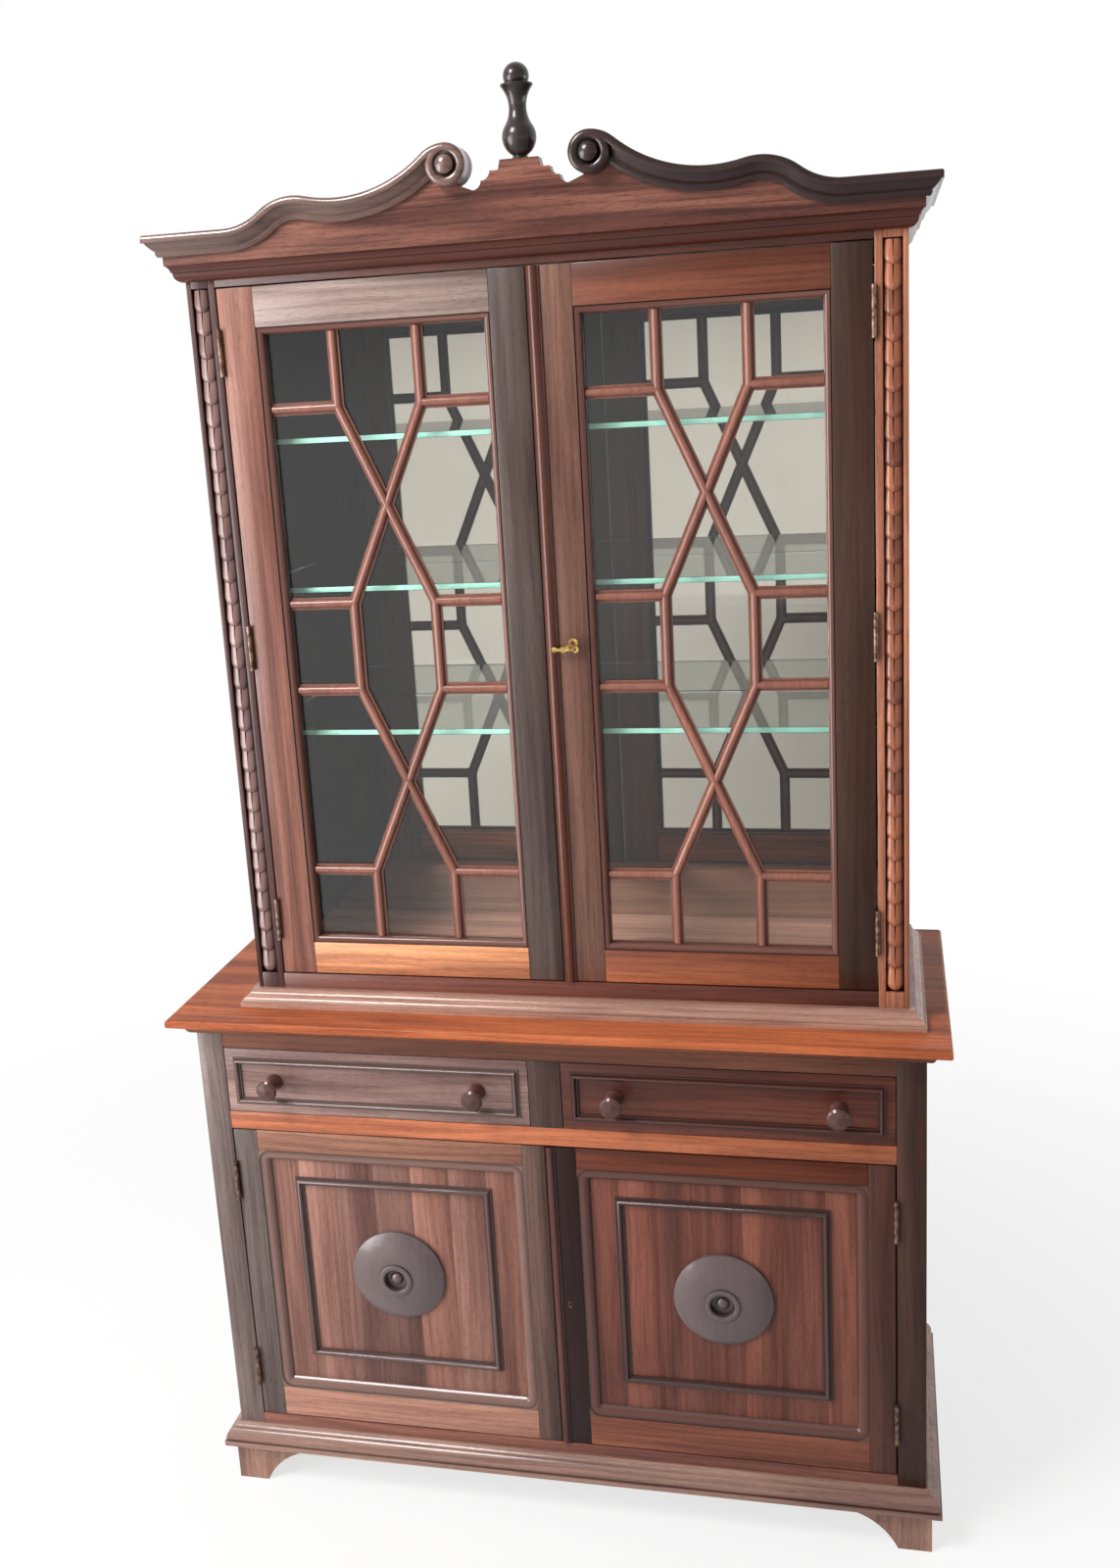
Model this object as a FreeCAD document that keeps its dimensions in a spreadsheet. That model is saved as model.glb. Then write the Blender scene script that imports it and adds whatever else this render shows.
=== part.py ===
import FreeCAD, Part
import math
import os
import re
import Sketcher
from FreeCAD import Vector

# Two-part glazed bookcase in rosewood. The base holds two drawers over a cupboard with two panel
# doors. The upper case has two glazed doors before glass shelves and a mirror back, and a
# swan-neck pediment with a turned finial. Millimetres, +Z up, +Y to the back.
doc = FreeCAD.newDocument("Bookcase")

# Driving sizes. Each one is set by itself and read everywhere by its name.
SIZES = (
    ("base_width", 1062, "base, across its front stiles"),
    ("base_depth", 410, "base, front face to the back of the carcass"),
    ("base_height", 800, "floor to the upper face of the base top"),
    ("base_stile", 40, "width of a front stile of the base"),
    ("face_thick", 22, "thickness of front stiles, rails and muntin"),
    ("side_board", 18, "thickness of the side boards, floors and roof"),
    ("back_board", 10, "thickness of the base back"),
    ("top_board", 14, "thickness of the base top"),
    ("top_reach", 33, "overhang of the base top at the front and sides"),
    ("top_back_reach", 6, "overhang of the base top at the back"),
    ("top_round", 5, "rounding of the edges of the base top"),
    ("cove_height", 15, "height of the cove moulding under the base top"),
    ("cove_reach", 23, "projection of the cove moulding at its top"),
    ("cove_foot", 8, "projection of the cove moulding at its bottom"),
    ("cove_edge", 2, "flat edges of the cove moulding"),
    ("foot_height", 66, "height of the bracket feet"),
    ("foot_width", 48, "width of a bracket foot where it stands"),
    ("foot_spread", 140, "width of a bracket foot at its top"),
    ("foot_edge", 6, "height of the bracket at its narrow end"),
    ("foot_board", 22, "thickness of the bracket boards"),
    ("foot_round", 101, "radius of the bracket's hollow curve"),
    ("foot_reach", 8, "projection of the feet from the base's face"),
    ("plinth_height", 34, "height of the plinth moulding"),
    ("plinth_reach", 22, "projection of the plinth moulding"),
    ("plinth_lip", 8, "height of the flat lip under the plinth moulding's curve"),
    ("plinth_step", 3, "projection of the plinth moulding at its top"),
    ("plinth_waist", 12, "projection of the plinth moulding where its curve turns"),
    ("plinth_curve", 16, "radius of the plinth moulding's curves"),
    ("bottom_rail", 17, "height of the base's bottom rail over the plinth moulding"),
    ("drawer_rail", 28, "height of the rail between drawers and doors"),
    ("drawer_height_share", 0.13, "height of the drawer opening, share of the base's height"),
    ("base_top_rail", 41, "height of the rail over the drawers"),
    ("muntin", 47, "width of the upright between the drawers"),
    ("guide_height", 16, "height of the strips that guide the drawers"),
    ("meeting_offset", 5, "how far left of the centre each pair of doors meets"),
    ("door_gap", 2, "gap round the doors"),
    ("door_thick", 20, "thickness of the doors and drawer fronts"),
    ("fit_gap", 0.3, "clearance of pieces that slide or rest loose"),
    ("drawer_gap", 1, "gap round a drawer front"),
    ("drawer_back_gap", 28, "gap between a drawer's back and the base back"),
    ("drawer_side", 12, "thickness of drawer sides and back"),
    ("drawer_bottom", 6, "thickness of the drawer bottom"),
    ("drawer_drop", 12, "how far the drawer sides stand below the front's top edge"),
    ("bead_inset", 13.5, "bare edge of a drawer front outside its bead"),
    ("bead_width", 11, "width of the drawer bead"),
    ("bead_height", 7, "projection of the drawer bead"),
    ("bead_step", 2, "flat step at the edges of a bead"),
    ("knob_reach", 38, "projection of a drawer knob"),
    ("knob_inset", 77.25, "middle of a knob from the end of the drawer opening"),
    ("knob_disc", 16, "radius of the knob's front disc"),
    ("knob_neck", 8.5, "radius of the knob's neck"),
    ("knob_foot", 12.5, "radius of the knob's foot"),
    ("knob_lip", 11, "thickness of the knob's front disc, and its edge's radius"),
    ("knob_rim", 3, "rounding at the rims of a knob"),
    ("knob_curve", 30, "radius of the hollow between the knob's neck and foot"),
    ("lower_stile", 37, "panel door, width of the outer stile"),
    ("lower_opening_edge", 40, "panel door opening, distance from the base's centre line"),
    ("lower_top_rail", 35, "panel door, height of the top rail with its gap"),
    ("lower_bottom_rail", 51, "panel door, height of the bottom rail with its gap"),
    ("corner_round", 16, "radius of the panel door's opening corners"),
    ("panel_set", 8, "depth of the panel behind the door's face"),
    ("panel_thick", 8, "thickness of the panel"),
    ("thumb_width", 6, "width of the thumb moulding round the opening"),
    ("thumb_round", 5, "radius of the thumb moulding's edge"),
    ("square_share", 0.7488, "outer size of the square bead, share of the opening's shorter side"),
    ("square_lift", 7, "how far the square and its boss stand above the panel's middle"),
    ("square_bead", 13, "width of the square bead"),
    ("square_height", 8, "projection of the square bead from the panel"),
    ("boss_radius", 72, "radius of the turned boss"),
    ("boss_edge", 5, "thickness of the boss at its rim"),
    ("boss_height", 21, "height of the boss at its inner ring"),
    ("boss_crown", 110, "radius of the boss's rounded face"),
    ("boss_ring", 25, "radius of the ring at the boss's middle"),
    ("boss_band", 7, "width of the ring"),
    ("boss_step", 3, "height of the ring over the boss's face"),
    ("boss_hollow", 9, "depth of the hollow inside the ring"),
    ("boss_button", 10, "radius of the button in the hollow"),
    ("upper_inset", 55, "how much narrower the upper case is at each side"),
    ("upper_back_inset", 39, "back of the upper case before the base's back"),
    ("upper_setback", 47, "upper case's front face behind the base's"),
    ("upper_shift", 33, "upper case's centre right of the base's, as it stands in the picture"),
    ("upper_stile", 41, "width of a front stile of the upper case"),
    ("mirror_thick", 5, "thickness of the mirror"),
    ("upper_back", 12, "thickness of the board behind the mirror"),
    ("back_frame", 22, "thickness of the framed back of the upper case"),
    ("back_stile", 80, "width of the stiles and rails of the framed back"),
    ("waist_height", 25, "height of the waist moulding"),
    ("waist_reach", 23, "projection of the waist moulding"),
    ("waist_lip", 8, "height of the waist moulding's flat lip"),
    ("waist_step", 8, "projection of the waist moulding at its top"),
    ("waist_quirk", 2, "step over the waist moulding's lip"),
    ("waist_middle", 14, "projection of the waist moulding where its curve turns"),
    ("waist_rise", 8, "height over the lip at which that curve turns"),
    ("waist_curve", 11, "radius of the waist moulding's curves"),
    ("upper_bottom_rail", 23, "height of the upper bottom rail over the waist moulding"),
    ("glazed_door_height", 988, "height of the upper door opening"),
    ("upper_top_rail", 9, "height of the upper top rail below the cornice"),
    ("cornice_height", 22, "height of the lower cornice moulding"),
    ("cornice_reach", 20, "projection of the lower cornice and of the pediment board"),
    ("cornice_step", 2, "flat steps of the lower cornice"),
    ("cornice_middle", 12, "projection of the lower cornice at its step"),
    ("cornice_rise", 13, "height of the lower cornice at its step"),
    ("cornice_curve", 12, "radius of the lower cornice's curves"),
    ("frieze_height", 11, "height of the bare frieze at the ends of the pediment"),
    ("crown_height", 28, "height of the crown moulding across its curve"),
    ("crown_reach", 20, "projection of the crown moulding from the pediment board"),
    ("pediment_thick", 20, "thickness of the pediment board"),
    ("glazed_outer_stile", 51, "glazed door, width of the outer stile"),
    ("glazed_opening_edge", 55.5, "glazed opening, distance from the case's centre line"),
    ("glazed_top_rail", 55.5, "glazed door, height of the top rail with its gap"),
    ("glazed_bottom_rail", 50, "glazed door, height of the bottom rail with its gap"),
    ("sash_width", 10, "width of the sash moulding"),
    ("sash_quirk", 1.5, "flat step of the sash moulding"),
    ("glass_set", 14.5, "depth of the panes behind the door's face"),
    ("pane_thick", 3, "thickness of a pane"),
    ("pane_gap", 0.5, "clearance round a pane"),
    ("bar_width", 17, "width of a glazing bar"),
    ("bar_fillet", 2.5, "thickness of a glazing bar's flat edge"),
    ("bar_round", 5.5, "radius of a glazing bar's half round"),
    ("rib_width", 5, "width of the rib behind a glazing bar"),
    ("rib_depth", 5, "depth of the rib behind a glazing bar"),
    ("column_share", 0.3614, "glazing bar uprights, share of the opening's half width"),
    ("outer_level_share", 0.75, "outer glazing levels, share of the opening's half height"),
    ("inner_level_share", 0.1405, "inner glazing levels, share of the opening's half height"),
    ("astragal_width", 17, "width of the upper astragal"),
    ("astragal_height", 6, "projection of the upper astragal"),
    ("lower_astragal", 13, "width of the lower astragal"),
    ("hinge_length", 64, "length of a butt hinge"),
    ("hinge_leaf", 0.9, "thickness of a hinge leaf"),
    ("hinge_depth", 17, "depth of a hinge leaf behind the face"),
    ("knuckle_round", 3.2, "radius of a hinge knuckle"),
    ("pin_round", 1.4, "radius of a hinge pin"),
    ("pin_gap", 0.1, "clearance round a hinge pin"),
    ("hinge_inset", 86, "middle of an end hinge from the end of the door opening"),
    ("shelf_thick", 8, "thickness of a glass shelf"),
    ("shelf_first_share", 0.3603, "first shelf's height, share of the door opening's"),
    ("shelf_pitch_share", 0.2115, "distance from shelf to shelf, share of the door opening's"),
    ("shelf_front", 42, "front edge of a shelf behind the case's face"),
    ("shelf_side_gap", 2, "clearance at the ends of a shelf"),
    ("shelf_back_gap", 3, "clearance between shelf and mirror"),
    ("pin_length", 12, "length of a shelf pin inside the case"),
    ("shelf_pin", 2.5, "radius of a shelf pin"),
    ("pin_inset", 35, "shelf pins, distance from the shelf's front and back edges"),
    ("strip_width", 24.5, "width of a carved strip"),
    ("strip_inset", 19, "middle of a carved strip from the end of the case"),
    ("strip_recess", 5, "depth of the recess that holds a carved strip"),
    ("strip_end", 2, "bare end above and below a carved strip"),
    ("strip_edge", 1.5, "height of a carved strip at its edges"),
    ("strip_round", 23, "radius of a carved strip's rounded face"),
    ("start_share", 0.8065, "where the crown starts to rise, share of the pediment's half"),
    ("hump_share", 0.6048, "outer hump of the swan neck, share of the pediment's half"),
    ("hump_rise", 34, "height of the hump over the flat ends of the crown"),
    ("hump_round", 80, "radius of the hump"),
    ("dip_share", 0.4839, "dip of the swan neck, share of the pediment's half"),
    ("dip_rise", 27, "height of the dip over the flat ends of the crown"),
    ("scroll_x", 92, "middle of a scroll from the case's centre"),
    ("scroll_rise", 81, "top of a scroll over the flat ends of the crown"),
    ("scroll_round", 26, "radius of a scroll"),
    ("scroll_button", 11.5, "radius of the scroll's turned button"),
    ("button_reach", 6, "projection of the button past the crown"),
    ("plinth_top", 25, "half width of the pediment's middle plinth at its top"),
    ("plinth_neck", 12, "height of the middle plinth's upper step"),
    ("plinth_ledge", 39, "half width of the middle plinth below its upper step"),
    ("plinth_shoulder", 48, "half width of the middle plinth where its first curve ends"),
    ("plinth_drop", 11, "height of each curve of the middle plinth"),
    ("plinth_shelf", 3, "width of the step between the two curves"),
    ("plinth_rise", 96, "height of the middle plinth over the lower cornice"),
    ("notch_x", 62, "bottom of the notch beside the plinth, from the centre"),
    ("plinth_bend", 12, "radius of the middle plinth's curves"),
    ("scroll_meet", 82, "where the pediment board meets the scroll, from the centre"),
    ("crown_quirk", 2, "flat steps of the crown moulding"),
    ("crown_bead", 7, "projection and height of the crown's lower bead"),
    ("crown_neck", 17, "projection of the crown at the top of its cove"),
    ("crown_band", 10, "height of the crown's rounded top band"),
    ("finial_height", 114, "height of the finial"),
    ("finial_foot", 11, "radius of the finial's foot"),
    ("finial_stem", 9, "radius of the finial over its foot"),
    ("finial_step", 4, "height of the finial's foot and of its lip"),
    ("bulb_round", 25, "radius of the finial's bulb in profile"),
    ("bulb_top", 18, "radius of the finial where the bulb runs into the neck"),
    ("bulb_height", 39, "height of the bulb"),
    ("neck_hollow", 38, "radius of the finial's hollow neck"),
    ("lip_round", 20.5, "radius of the finial's bell lip"),
    ("lip_height", 86, "height of the finial's bell lip"),
    ("dome_round", 14.5, "radius of the finial's dome at its foot"),
    ("lock_x", 21, "keyholes, distance from the centre line of the case or base"),
    ("upper_lock_drop", 8, "upper keyhole below the middle of the door opening"),
    ("lower_lock_drop", 4, "lower keyhole below the middle of the door opening"),
    ("lock_width", 40, "width of a lock case"),
    ("lock_height", 46, "height of a lock case"),
    ("lock_thick", 10, "thickness of a lock case"),
    ("lock_wall", 1.5, "wall of a lock case"),
    ("lock_set", 9, "depth of a lock case behind the door's face"),
    ("bolt_height", 12, "height of a lock bolt"),
    ("bolt_thick", 4, "thickness of a lock bolt"),
    ("bolt_travel", 8, "travel of a lock bolt"),
    ("bolt_length", 28, "length of a lock bolt"),
    ("bolt_rise", 7, "underside of a lock bolt above the keyhole's middle"),
    ("key_shank", 2.6, "radius of the key's shank"),
    ("keyhole_round", 3.2, "radius of the keyhole"),
    ("key_out", 10, "length of the shank outside the door"),
    ("key_hub", 4.2, "radius of the bow's hub"),
    ("key_arm", 12, "length of the bow's plain arm"),
    ("key_knob", 3.8, "radius of the knob on the plain arm"),
    ("key_plate", 3.4, "thickness of the bow"),
    ("key_bar", 4, "width of the bow's bars"),
    ("ring_x", 15, "middle of the bow's ring beside the shank"),
    ("ring_z", 9, "middle of the bow's ring above the shank"),
    ("ring_round", 6.5, "outer radius of the bow's ring"),
    ("ring_hole", 2.7, "radius of the hole in the bow's ring"),
    ("eye_x", 17, "middle of the bow's eye beside the shank"),
    ("eye_round", 4.8, "outer radius of the bow's eye"),
    ("eye_hole", 1.8, "radius of the hole in the bow's eye"),
    ("key_bit", 6.5, "reach of the key's bit from its axis"),
    ("bit_thick", 2.5, "thickness of the key's bit"),
    ("overrun", 5, "how far a cutting shape passes the face it cuts"),
)
sheet = doc.addObject("Spreadsheet::Sheet", "Sizes")
for row, (alias, value, note) in enumerate(SIZES, 1):
    sheet.set("A%d" % row, alias)
    sheet.set("B%d" % row, str(value))
    sheet.setAlias("B%d" % row, alias)
    sheet.set("C%d" % row, note)

# Places worked out from the driving sizes.
PLACES = (
    ("base_half", "base_width / 2"),
    ("open_half", "base_half - base_stile"),
    ("front_y", "knob_reach - (knob_reach + base_depth + top_back_reach) / 2"),
    ("back_y", "front_y + base_depth"),
    ("z_plinth", "foot_height"),
    ("z_rail", "z_plinth + plinth_height"),
    ("z_door", "z_rail + bottom_rail"),
    ("z_top", "base_height - top_board"),
    ("z_top_rail", "z_top - base_top_rail"),
    ("drawer_height", "drawer_height_share * base_height"),
    ("z_drawer", "z_top_rail - drawer_height"),
    ("z_drawer_rail", "z_drawer - drawer_rail"),
    ("upper_half", "base_half - upper_inset"),
    ("upper_open", "upper_half - upper_stile"),
    ("upper_y", "front_y + upper_setback"),
    ("upper_back_y", "back_y - upper_back_inset"),
    ("back_frame_y", "upper_back_y - back_frame"),
    ("back_board_y", "back_frame_y - upper_back"),
    ("mirror_y", "back_board_y - mirror_thick"),
    ("z_waist", "base_height + waist_height"),
    ("z_glazed", "z_waist + upper_bottom_rail"),
    ("z_glazed_top", "z_glazed + glazed_door_height"),
    ("z_cornice", "z_glazed_top + upper_top_rail"),
    ("z_pediment", "z_cornice + cornice_height"),
    ("pediment_y", "upper_y - cornice_reach"),
    ("pediment_half", "upper_half + cornice_reach"),
    ("lower_hinge_x", "open_half - door_gap / 2"),
    ("upper_hinge_x", "upper_open - door_gap / 2"),
    ("hinge_out", "knuckle_round + fit_gap"),
    ("glass_low", "z_glazed + glazed_bottom_rail"),
    ("glass_high", "z_glazed_top - glazed_top_rail"),
    ("glass_out", "upper_open - door_gap - glazed_outer_stile"),
    ("panel_low", "z_door + lower_bottom_rail"),
    ("panel_high", "z_drawer_rail - lower_top_rail"),
    ("panel_out", "open_half - door_gap - lower_stile"),
    ("drawer_in", "muntin / 2"),
    ("drawer_mid", "(drawer_in + open_half) / 2"),
    ("knob_offset", "(open_half - drawer_in) / 2 - knob_inset"),
    ("drawer_depth", "base_depth - back_board - drawer_back_gap"),
    ("square_size", "square_share * min(panel_out - lower_opening_edge; panel_high - panel_low)"),
    ("strip_offset", "upper_half - strip_inset"),
    ("upper_lock_rise", "glazed_door_height / 2 - upper_lock_drop"),
    ("lower_lock_rise", "(z_drawer_rail - z_door) / 2 - lower_lock_drop"),
    ("upper_hinge_high", "z_glazed_top - hinge_inset"),
    ("upper_hinge_middle", "(z_glazed + z_glazed_top) / 2"),
    ("upper_hinge_low", "z_glazed + hinge_inset"),
    ("lower_hinge_high", "z_drawer_rail - hinge_inset"),
    ("lower_hinge_low", "z_door + hinge_inset"),
    ("neck_start", "start_share * pediment_half"),
    ("hump_x", "hump_share * pediment_half"),
    ("dip_x", "dip_share * pediment_half"),
    ("crown_flat", "frieze_height + crown_height"),
    ("crown_depth", "upper_back_y - pediment_y"),
)
places = doc.addObject("Spreadsheet::Sheet", "Places")
OWNER = {alias: "Sizes" for alias, value, note in SIZES}
OWNER.update({alias: "Places" for alias, formula in PLACES})
NAME = r"\b[a-z][a-z_]+\b(?!\()"


def spelled(formula):
    """The formula with each size named together with its sheet."""
    return re.sub(NAME, lambda word: OWNER[word.group()] + "." + word.group(), formula)


for row, (alias, formula) in enumerate(PLACES, 1):
    cell = re.sub(NAME, lambda word: "Sizes." + word.group()
                  if OWNER[word.group()] == "Sizes" else word.group(), formula)
    places.set("A%d" % row, alias)
    places.set("B%d" % row, "=" + cell)
    places.setAlias("B%d" % row, alias)
doc.recompute()


def size(name):
    """One size or place as a number."""
    return float((sheet if OWNER[name] == "Sizes" else places).get(name))


NODES = []


def keep(piece, name):
    """Name a finished sub-part and list it for writing."""
    piece.Label = name
    NODES.append(piece)
    return piece


def bind(piece, **formulas):
    """Tie properties of an object to formulas of sizes."""
    for prop, formula in formulas.items():
        piece.setExpression(prop.replace("__", "."), spelled(formula))
    return piece


def seat(piece, x="0", y="0", z="0"):
    """Tie an object's place to formulas of sizes."""
    return bind(piece, Placement__Base__x=x, Placement__Base__y=y, Placement__Base__z=z)


def board(name, x, y, z, length, depth, height):
    """A sawn board: its low corner, then its size along X, Y and Z."""
    piece = doc.addObject("Part::Box", name)
    bind(piece, Length=length, Width=depth, Height=height)
    return seat(piece, x, y, z)


def gather(name, pieces):
    """Several separate pieces under one name."""
    group = doc.addObject("Part::Compound", name)
    group.Links = pieces
    return keep(group, name)


def cut(name, base, tool):
    piece = doc.addObject("Part::Cut", name)
    piece.Base = base
    piece.Tool = tool
    return piece


def common(name, base, tool):
    piece = doc.addObject("Part::Common", name)
    piece.Base = base
    piece.Tool = tool
    return piece


def solid(name, shape):
    """A piece whose form is worked out in code."""
    piece = doc.addObject("Part::Feature", name)
    piece.Shape = shape
    return keep(piece, name)


def sketch_on(body, name, role):
    """An empty sketch on one of the body's own origin planes."""
    drawing = body.newObject("Sketcher::SketchObject", name)
    plane = [item for item in body.Origin.OriginFeatures if item.Role == role][0]
    drawing.AttachmentSupport = [(plane, "")]
    drawing.MapMode = "FlatFace"
    return drawing


def outline(drawing, corners):
    """Draw a closed outline. A corner is (x, y), or (x, y, radius, side) where the edge that
    leaves it is an arc, with its centre left of its run at side 1 and right of it at side -1."""
    ends = {}
    count = len(corners)

    def at(corner):
        return Vector(value_of(corner[0]), value_of(corner[1]), 0)

    for index, corner in enumerate(corners):
        start, end = at(corner), at(corners[(index + 1) % count])
        if len(corner) == 2:
            drawing.addGeometry(Part.LineSegment(start, end), False)
            ends[index] = (1, 2)
        else:
            radius = value_of(corner[2])
            side = corner[3]
            chord = end - start
            middle = (start + end) * 0.5
            normal = Vector(-chord.y, chord.x, 0)
            normal.normalize()
            depth = math.sqrt(max(radius ** 2 - (chord.Length / 2) ** 2, 0))
            centre = middle + normal * depth * side
            first = math.atan2(start.y - centre.y, start.x - centre.x)
            last = math.atan2(end.y - centre.y, end.x - centre.x)
            circle = Part.Circle(centre, Vector(0, 0, 1), radius)
            if side > 0:
                drawing.addGeometry(Part.ArcOfCircle(circle, first, last), False)
                ends[index] = (1, 2)
            else:
                drawing.addGeometry(Part.ArcOfCircle(circle, last, first), False)
                ends[index] = (2, 1)
    for index, corner in enumerate(corners):
        before = (index - 1) % count
        drawing.addConstraint(Sketcher.Constraint("Coincident", before, ends[before][1],
                                                  index, ends[index][0]))
        for kind, formula in (("DistanceX", corner[0]), ("DistanceY", corner[1])):
            number = drawing.addConstraint(Sketcher.Constraint(kind, -1, 1, index, ends[index][0],
                                                               value_of(formula)))
            drawing.setExpression("Constraints[%d]" % number, spelled(formula))
        if len(corner) > 2:
            number = drawing.addConstraint(Sketcher.Constraint("Radius", index,
                                                               value_of(corner[2])))
            drawing.setExpression("Constraints[%d]" % number, spelled(corner[2]))


def value_of(formula):
    """A formula of sizes as a number."""
    return float(places.evalExpression(spelled(formula)))


def prism(name, role, corners, length, reverse=False, x="0", y="0", z="0"):
    """A profile on one of the origin planes, drawn out square to it."""
    body = doc.addObject("PartDesign::Body", name)
    drawing = sketch_on(body, name + "_profile", role)
    outline(drawing, corners)
    pad = body.newObject("PartDesign::Pad", name + "_pad")
    pad.Profile = drawing
    pad.Reversed = reverse
    bind(pad, Length=length)
    return seat(body, x, y, z)


def turned(name, role, corners, x="0", y="0", z="0"):
    """A profile turned a full circle about the upright axis of its plane."""
    body = doc.addObject("PartDesign::Body", name)
    drawing = sketch_on(body, name + "_profile", role)
    outline(drawing, corners)
    turn = body.newObject("PartDesign::Revolution", name + "_turn")
    turn.Profile = drawing
    turn.ReferenceAxis = (drawing, ["V_Axis"])
    turn.Angle = 360
    return seat(body, x, y, z)


def mirrored(name, source):
    """The same piece on the other side of the centre line."""
    piece = doc.addObject("Part::Mirroring", name)
    piece.Source = source
    piece.Normal = (1, 0, 0)
    return piece


def shifted(piece):
    """Move a piece of the upper case, made about the centre line, to where the case stands."""
    return bind(piece, Placement__Base__x="upper_shift")


def moulding(name, profile, half, front, back, low, high, reach):
    """Mitred lengths of moulding across the front and back along both ends.
    A profile corner is a projection and a height over the low edge, with an arc where it has
    a radius and a side."""
    def across(start, sign, turn):
        corners = []
        for corner in profile:
            place = ("%s %s (%s)" % (start, sign, corner[0]), "%s + %s" % (low, corner[1]))
            bend = (corner[2], turn * corner[3]) if len(corner) > 2 else ()
            corners.append(place + bend)
        return corners

    front_run = prism(name + "_front_run", "YZ_Plane", across(front, "-", -1),
                      "2 * (%s + %s)" % (half, reach), x="-1 * (%s + %s)" % (half, reach))
    end_run = prism(name + "_end_run", "XZ_Plane", across(half, "+", 1),
                    "%s - %s + %s" % (back, front, reach), True,
                    y="%s - %s" % (front, reach))
    mitre = doc.addObject("Part::Wedge", name + "_mitre")
    bind(mitre, Ymin="%s - %s" % (front, reach), Ymax=front,
         Xmin="-1 * (%s + %s)" % (half, reach), Xmax="%s + %s" % (half, reach),
         X2min="-1 * %s" % half, X2max=half,
         Zmin="%s - overrun" % low, Z2min="%s - overrun" % low,
         Zmax="%s + overrun" % high, Z2max="%s + overrun" % high)
    front_length = common(name + "_front", front_run, mitre)
    end_length = cut(name + "_end", end_run, mitre)
    return gather(name, [front_length, end_length, mirrored(name + "_other_end", end_length)])


# Base carcass: boards, front frame and the boards that divide it.
top_board = doc.addObject("PartDesign::Body", "base_top")
drawing = sketch_on(top_board, "base_top_profile", "XY_Plane")
outline(drawing, [("-1 * (base_half + top_reach)", "front_y - top_reach"),
                  ("base_half + top_reach", "front_y - top_reach"),
                  ("base_half + top_reach", "back_y + top_back_reach"),
                  ("-1 * (base_half + top_reach)", "back_y + top_back_reach")])
pad = top_board.newObject("PartDesign::Pad", "base_top_pad")
pad.Profile = drawing
bind(pad, Length="top_board")
seat(top_board, z="z_top")
doc.recompute()
shown = []
for number, edge in enumerate(pad.Shape.Edges, 1):
    middle = edge.CenterOfMass
    if abs(edge.tangentAt(edge.FirstParameter).z) < 0.5 and middle.y < value_of("back_y"):
        shown.append("Edge%d" % number)
fillet = top_board.newObject("PartDesign::Fillet", "base_top_round")
fillet.Base = (pad, shown)
bind(fillet, Radius="top_round")
keep(top_board, "base_top")

moulding("base_top_cove",
         [("0", "0"), ("cove_foot", "0"), ("cove_foot", "cove_edge"),
          ("cove_foot + cove_edge", "cove_edge", "cove_height", -1),
          ("cove_reach", "cove_height - cove_edge"), ("cove_reach", "cove_height"),
          ("0", "cove_height")],
         "base_half", "front_y", "back_y", "(z_top - cove_height)", "z_top", "cove_reach")

gather("base_sides", [
    board("base_side_left", "-1 * base_half", "front_y + face_thick", "z_plinth",
          "side_board", "base_depth - face_thick", "z_top - z_plinth"),
    board("base_side_right", "base_half - side_board", "front_y + face_thick", "z_plinth",
          "side_board", "base_depth - face_thick", "z_top - z_plinth")])
keep(board("base_back", "-1 * (base_half - side_board)", "back_y - back_board", "z_plinth",
           "2 * (base_half - side_board)", "back_board", "z_top - z_plinth"), "base_back")
gather("base_boards", [
    board("base_floor_board", "-1 * (base_half - side_board)", "front_y + face_thick",
          "z_door - side_board", "2 * (base_half - side_board)",
          "base_depth - face_thick - back_board", "side_board"),
    board("base_dust_board", "-1 * (base_half - side_board)", "front_y + face_thick",
          "z_drawer - side_board", "2 * (base_half - side_board)",
          "base_depth - face_thick - back_board", "side_board")])
gather("base_front_stiles", [
    board("base_stile_left", "-1 * base_half", "front_y", "z_plinth",
          "base_stile", "face_thick", "z_top - z_plinth"),
    board("base_stile_right", "open_half", "front_y", "z_plinth",
          "base_stile", "face_thick", "z_top - z_plinth")])
keep(board("base_top_rail_board", "-1 * open_half", "front_y", "z_top_rail",
           "2 * open_half", "face_thick", "z_top - z_top_rail"), "base_top_rail")
keep(board("drawer_muntin_board", "-1 * muntin / 2", "front_y", "z_drawer",
           "muntin", "face_thick", "drawer_height"), "drawer_muntin")
keep(board("drawer_rail_board", "-1 * open_half", "front_y", "z_drawer_rail",
           "2 * open_half", "face_thick", "drawer_rail"), "drawer_rail")
keep(board("base_bottom_rail_board", "-1 * open_half", "front_y", "z_plinth",
           "2 * open_half", "face_thick", "z_door - z_plinth"), "base_bottom_rail")
guide_length = "base_depth - face_thick - back_board"
gather("drawer_guides", [
    board("guide_left", "-1 * (base_half - side_board)", "front_y + face_thick", "z_drawer",
          "base_stile - side_board", guide_length, "guide_height"),
    board("guide_middle", "-1 * muntin / 2", "front_y + face_thick", "z_drawer",
          "muntin", guide_length, "guide_height"),
    board("guide_right", "open_half", "front_y + face_thick", "z_drawer",
          "base_stile - side_board", guide_length, "guide_height")])

moulding("plinth_moulding",
         [("0", "0"), ("plinth_reach", "0"), ("plinth_reach", "plinth_lip"),
          ("plinth_reach - plinth_step", "plinth_lip", "plinth_curve", 1),
          ("plinth_waist", "plinth_height - plinth_curve / 2", "plinth_curve", -1),
          ("plinth_step", "plinth_height"), ("0", "plinth_height")],
         "base_half", "front_y", "back_y", "z_plinth", "z_rail", "plinth_reach")


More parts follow.
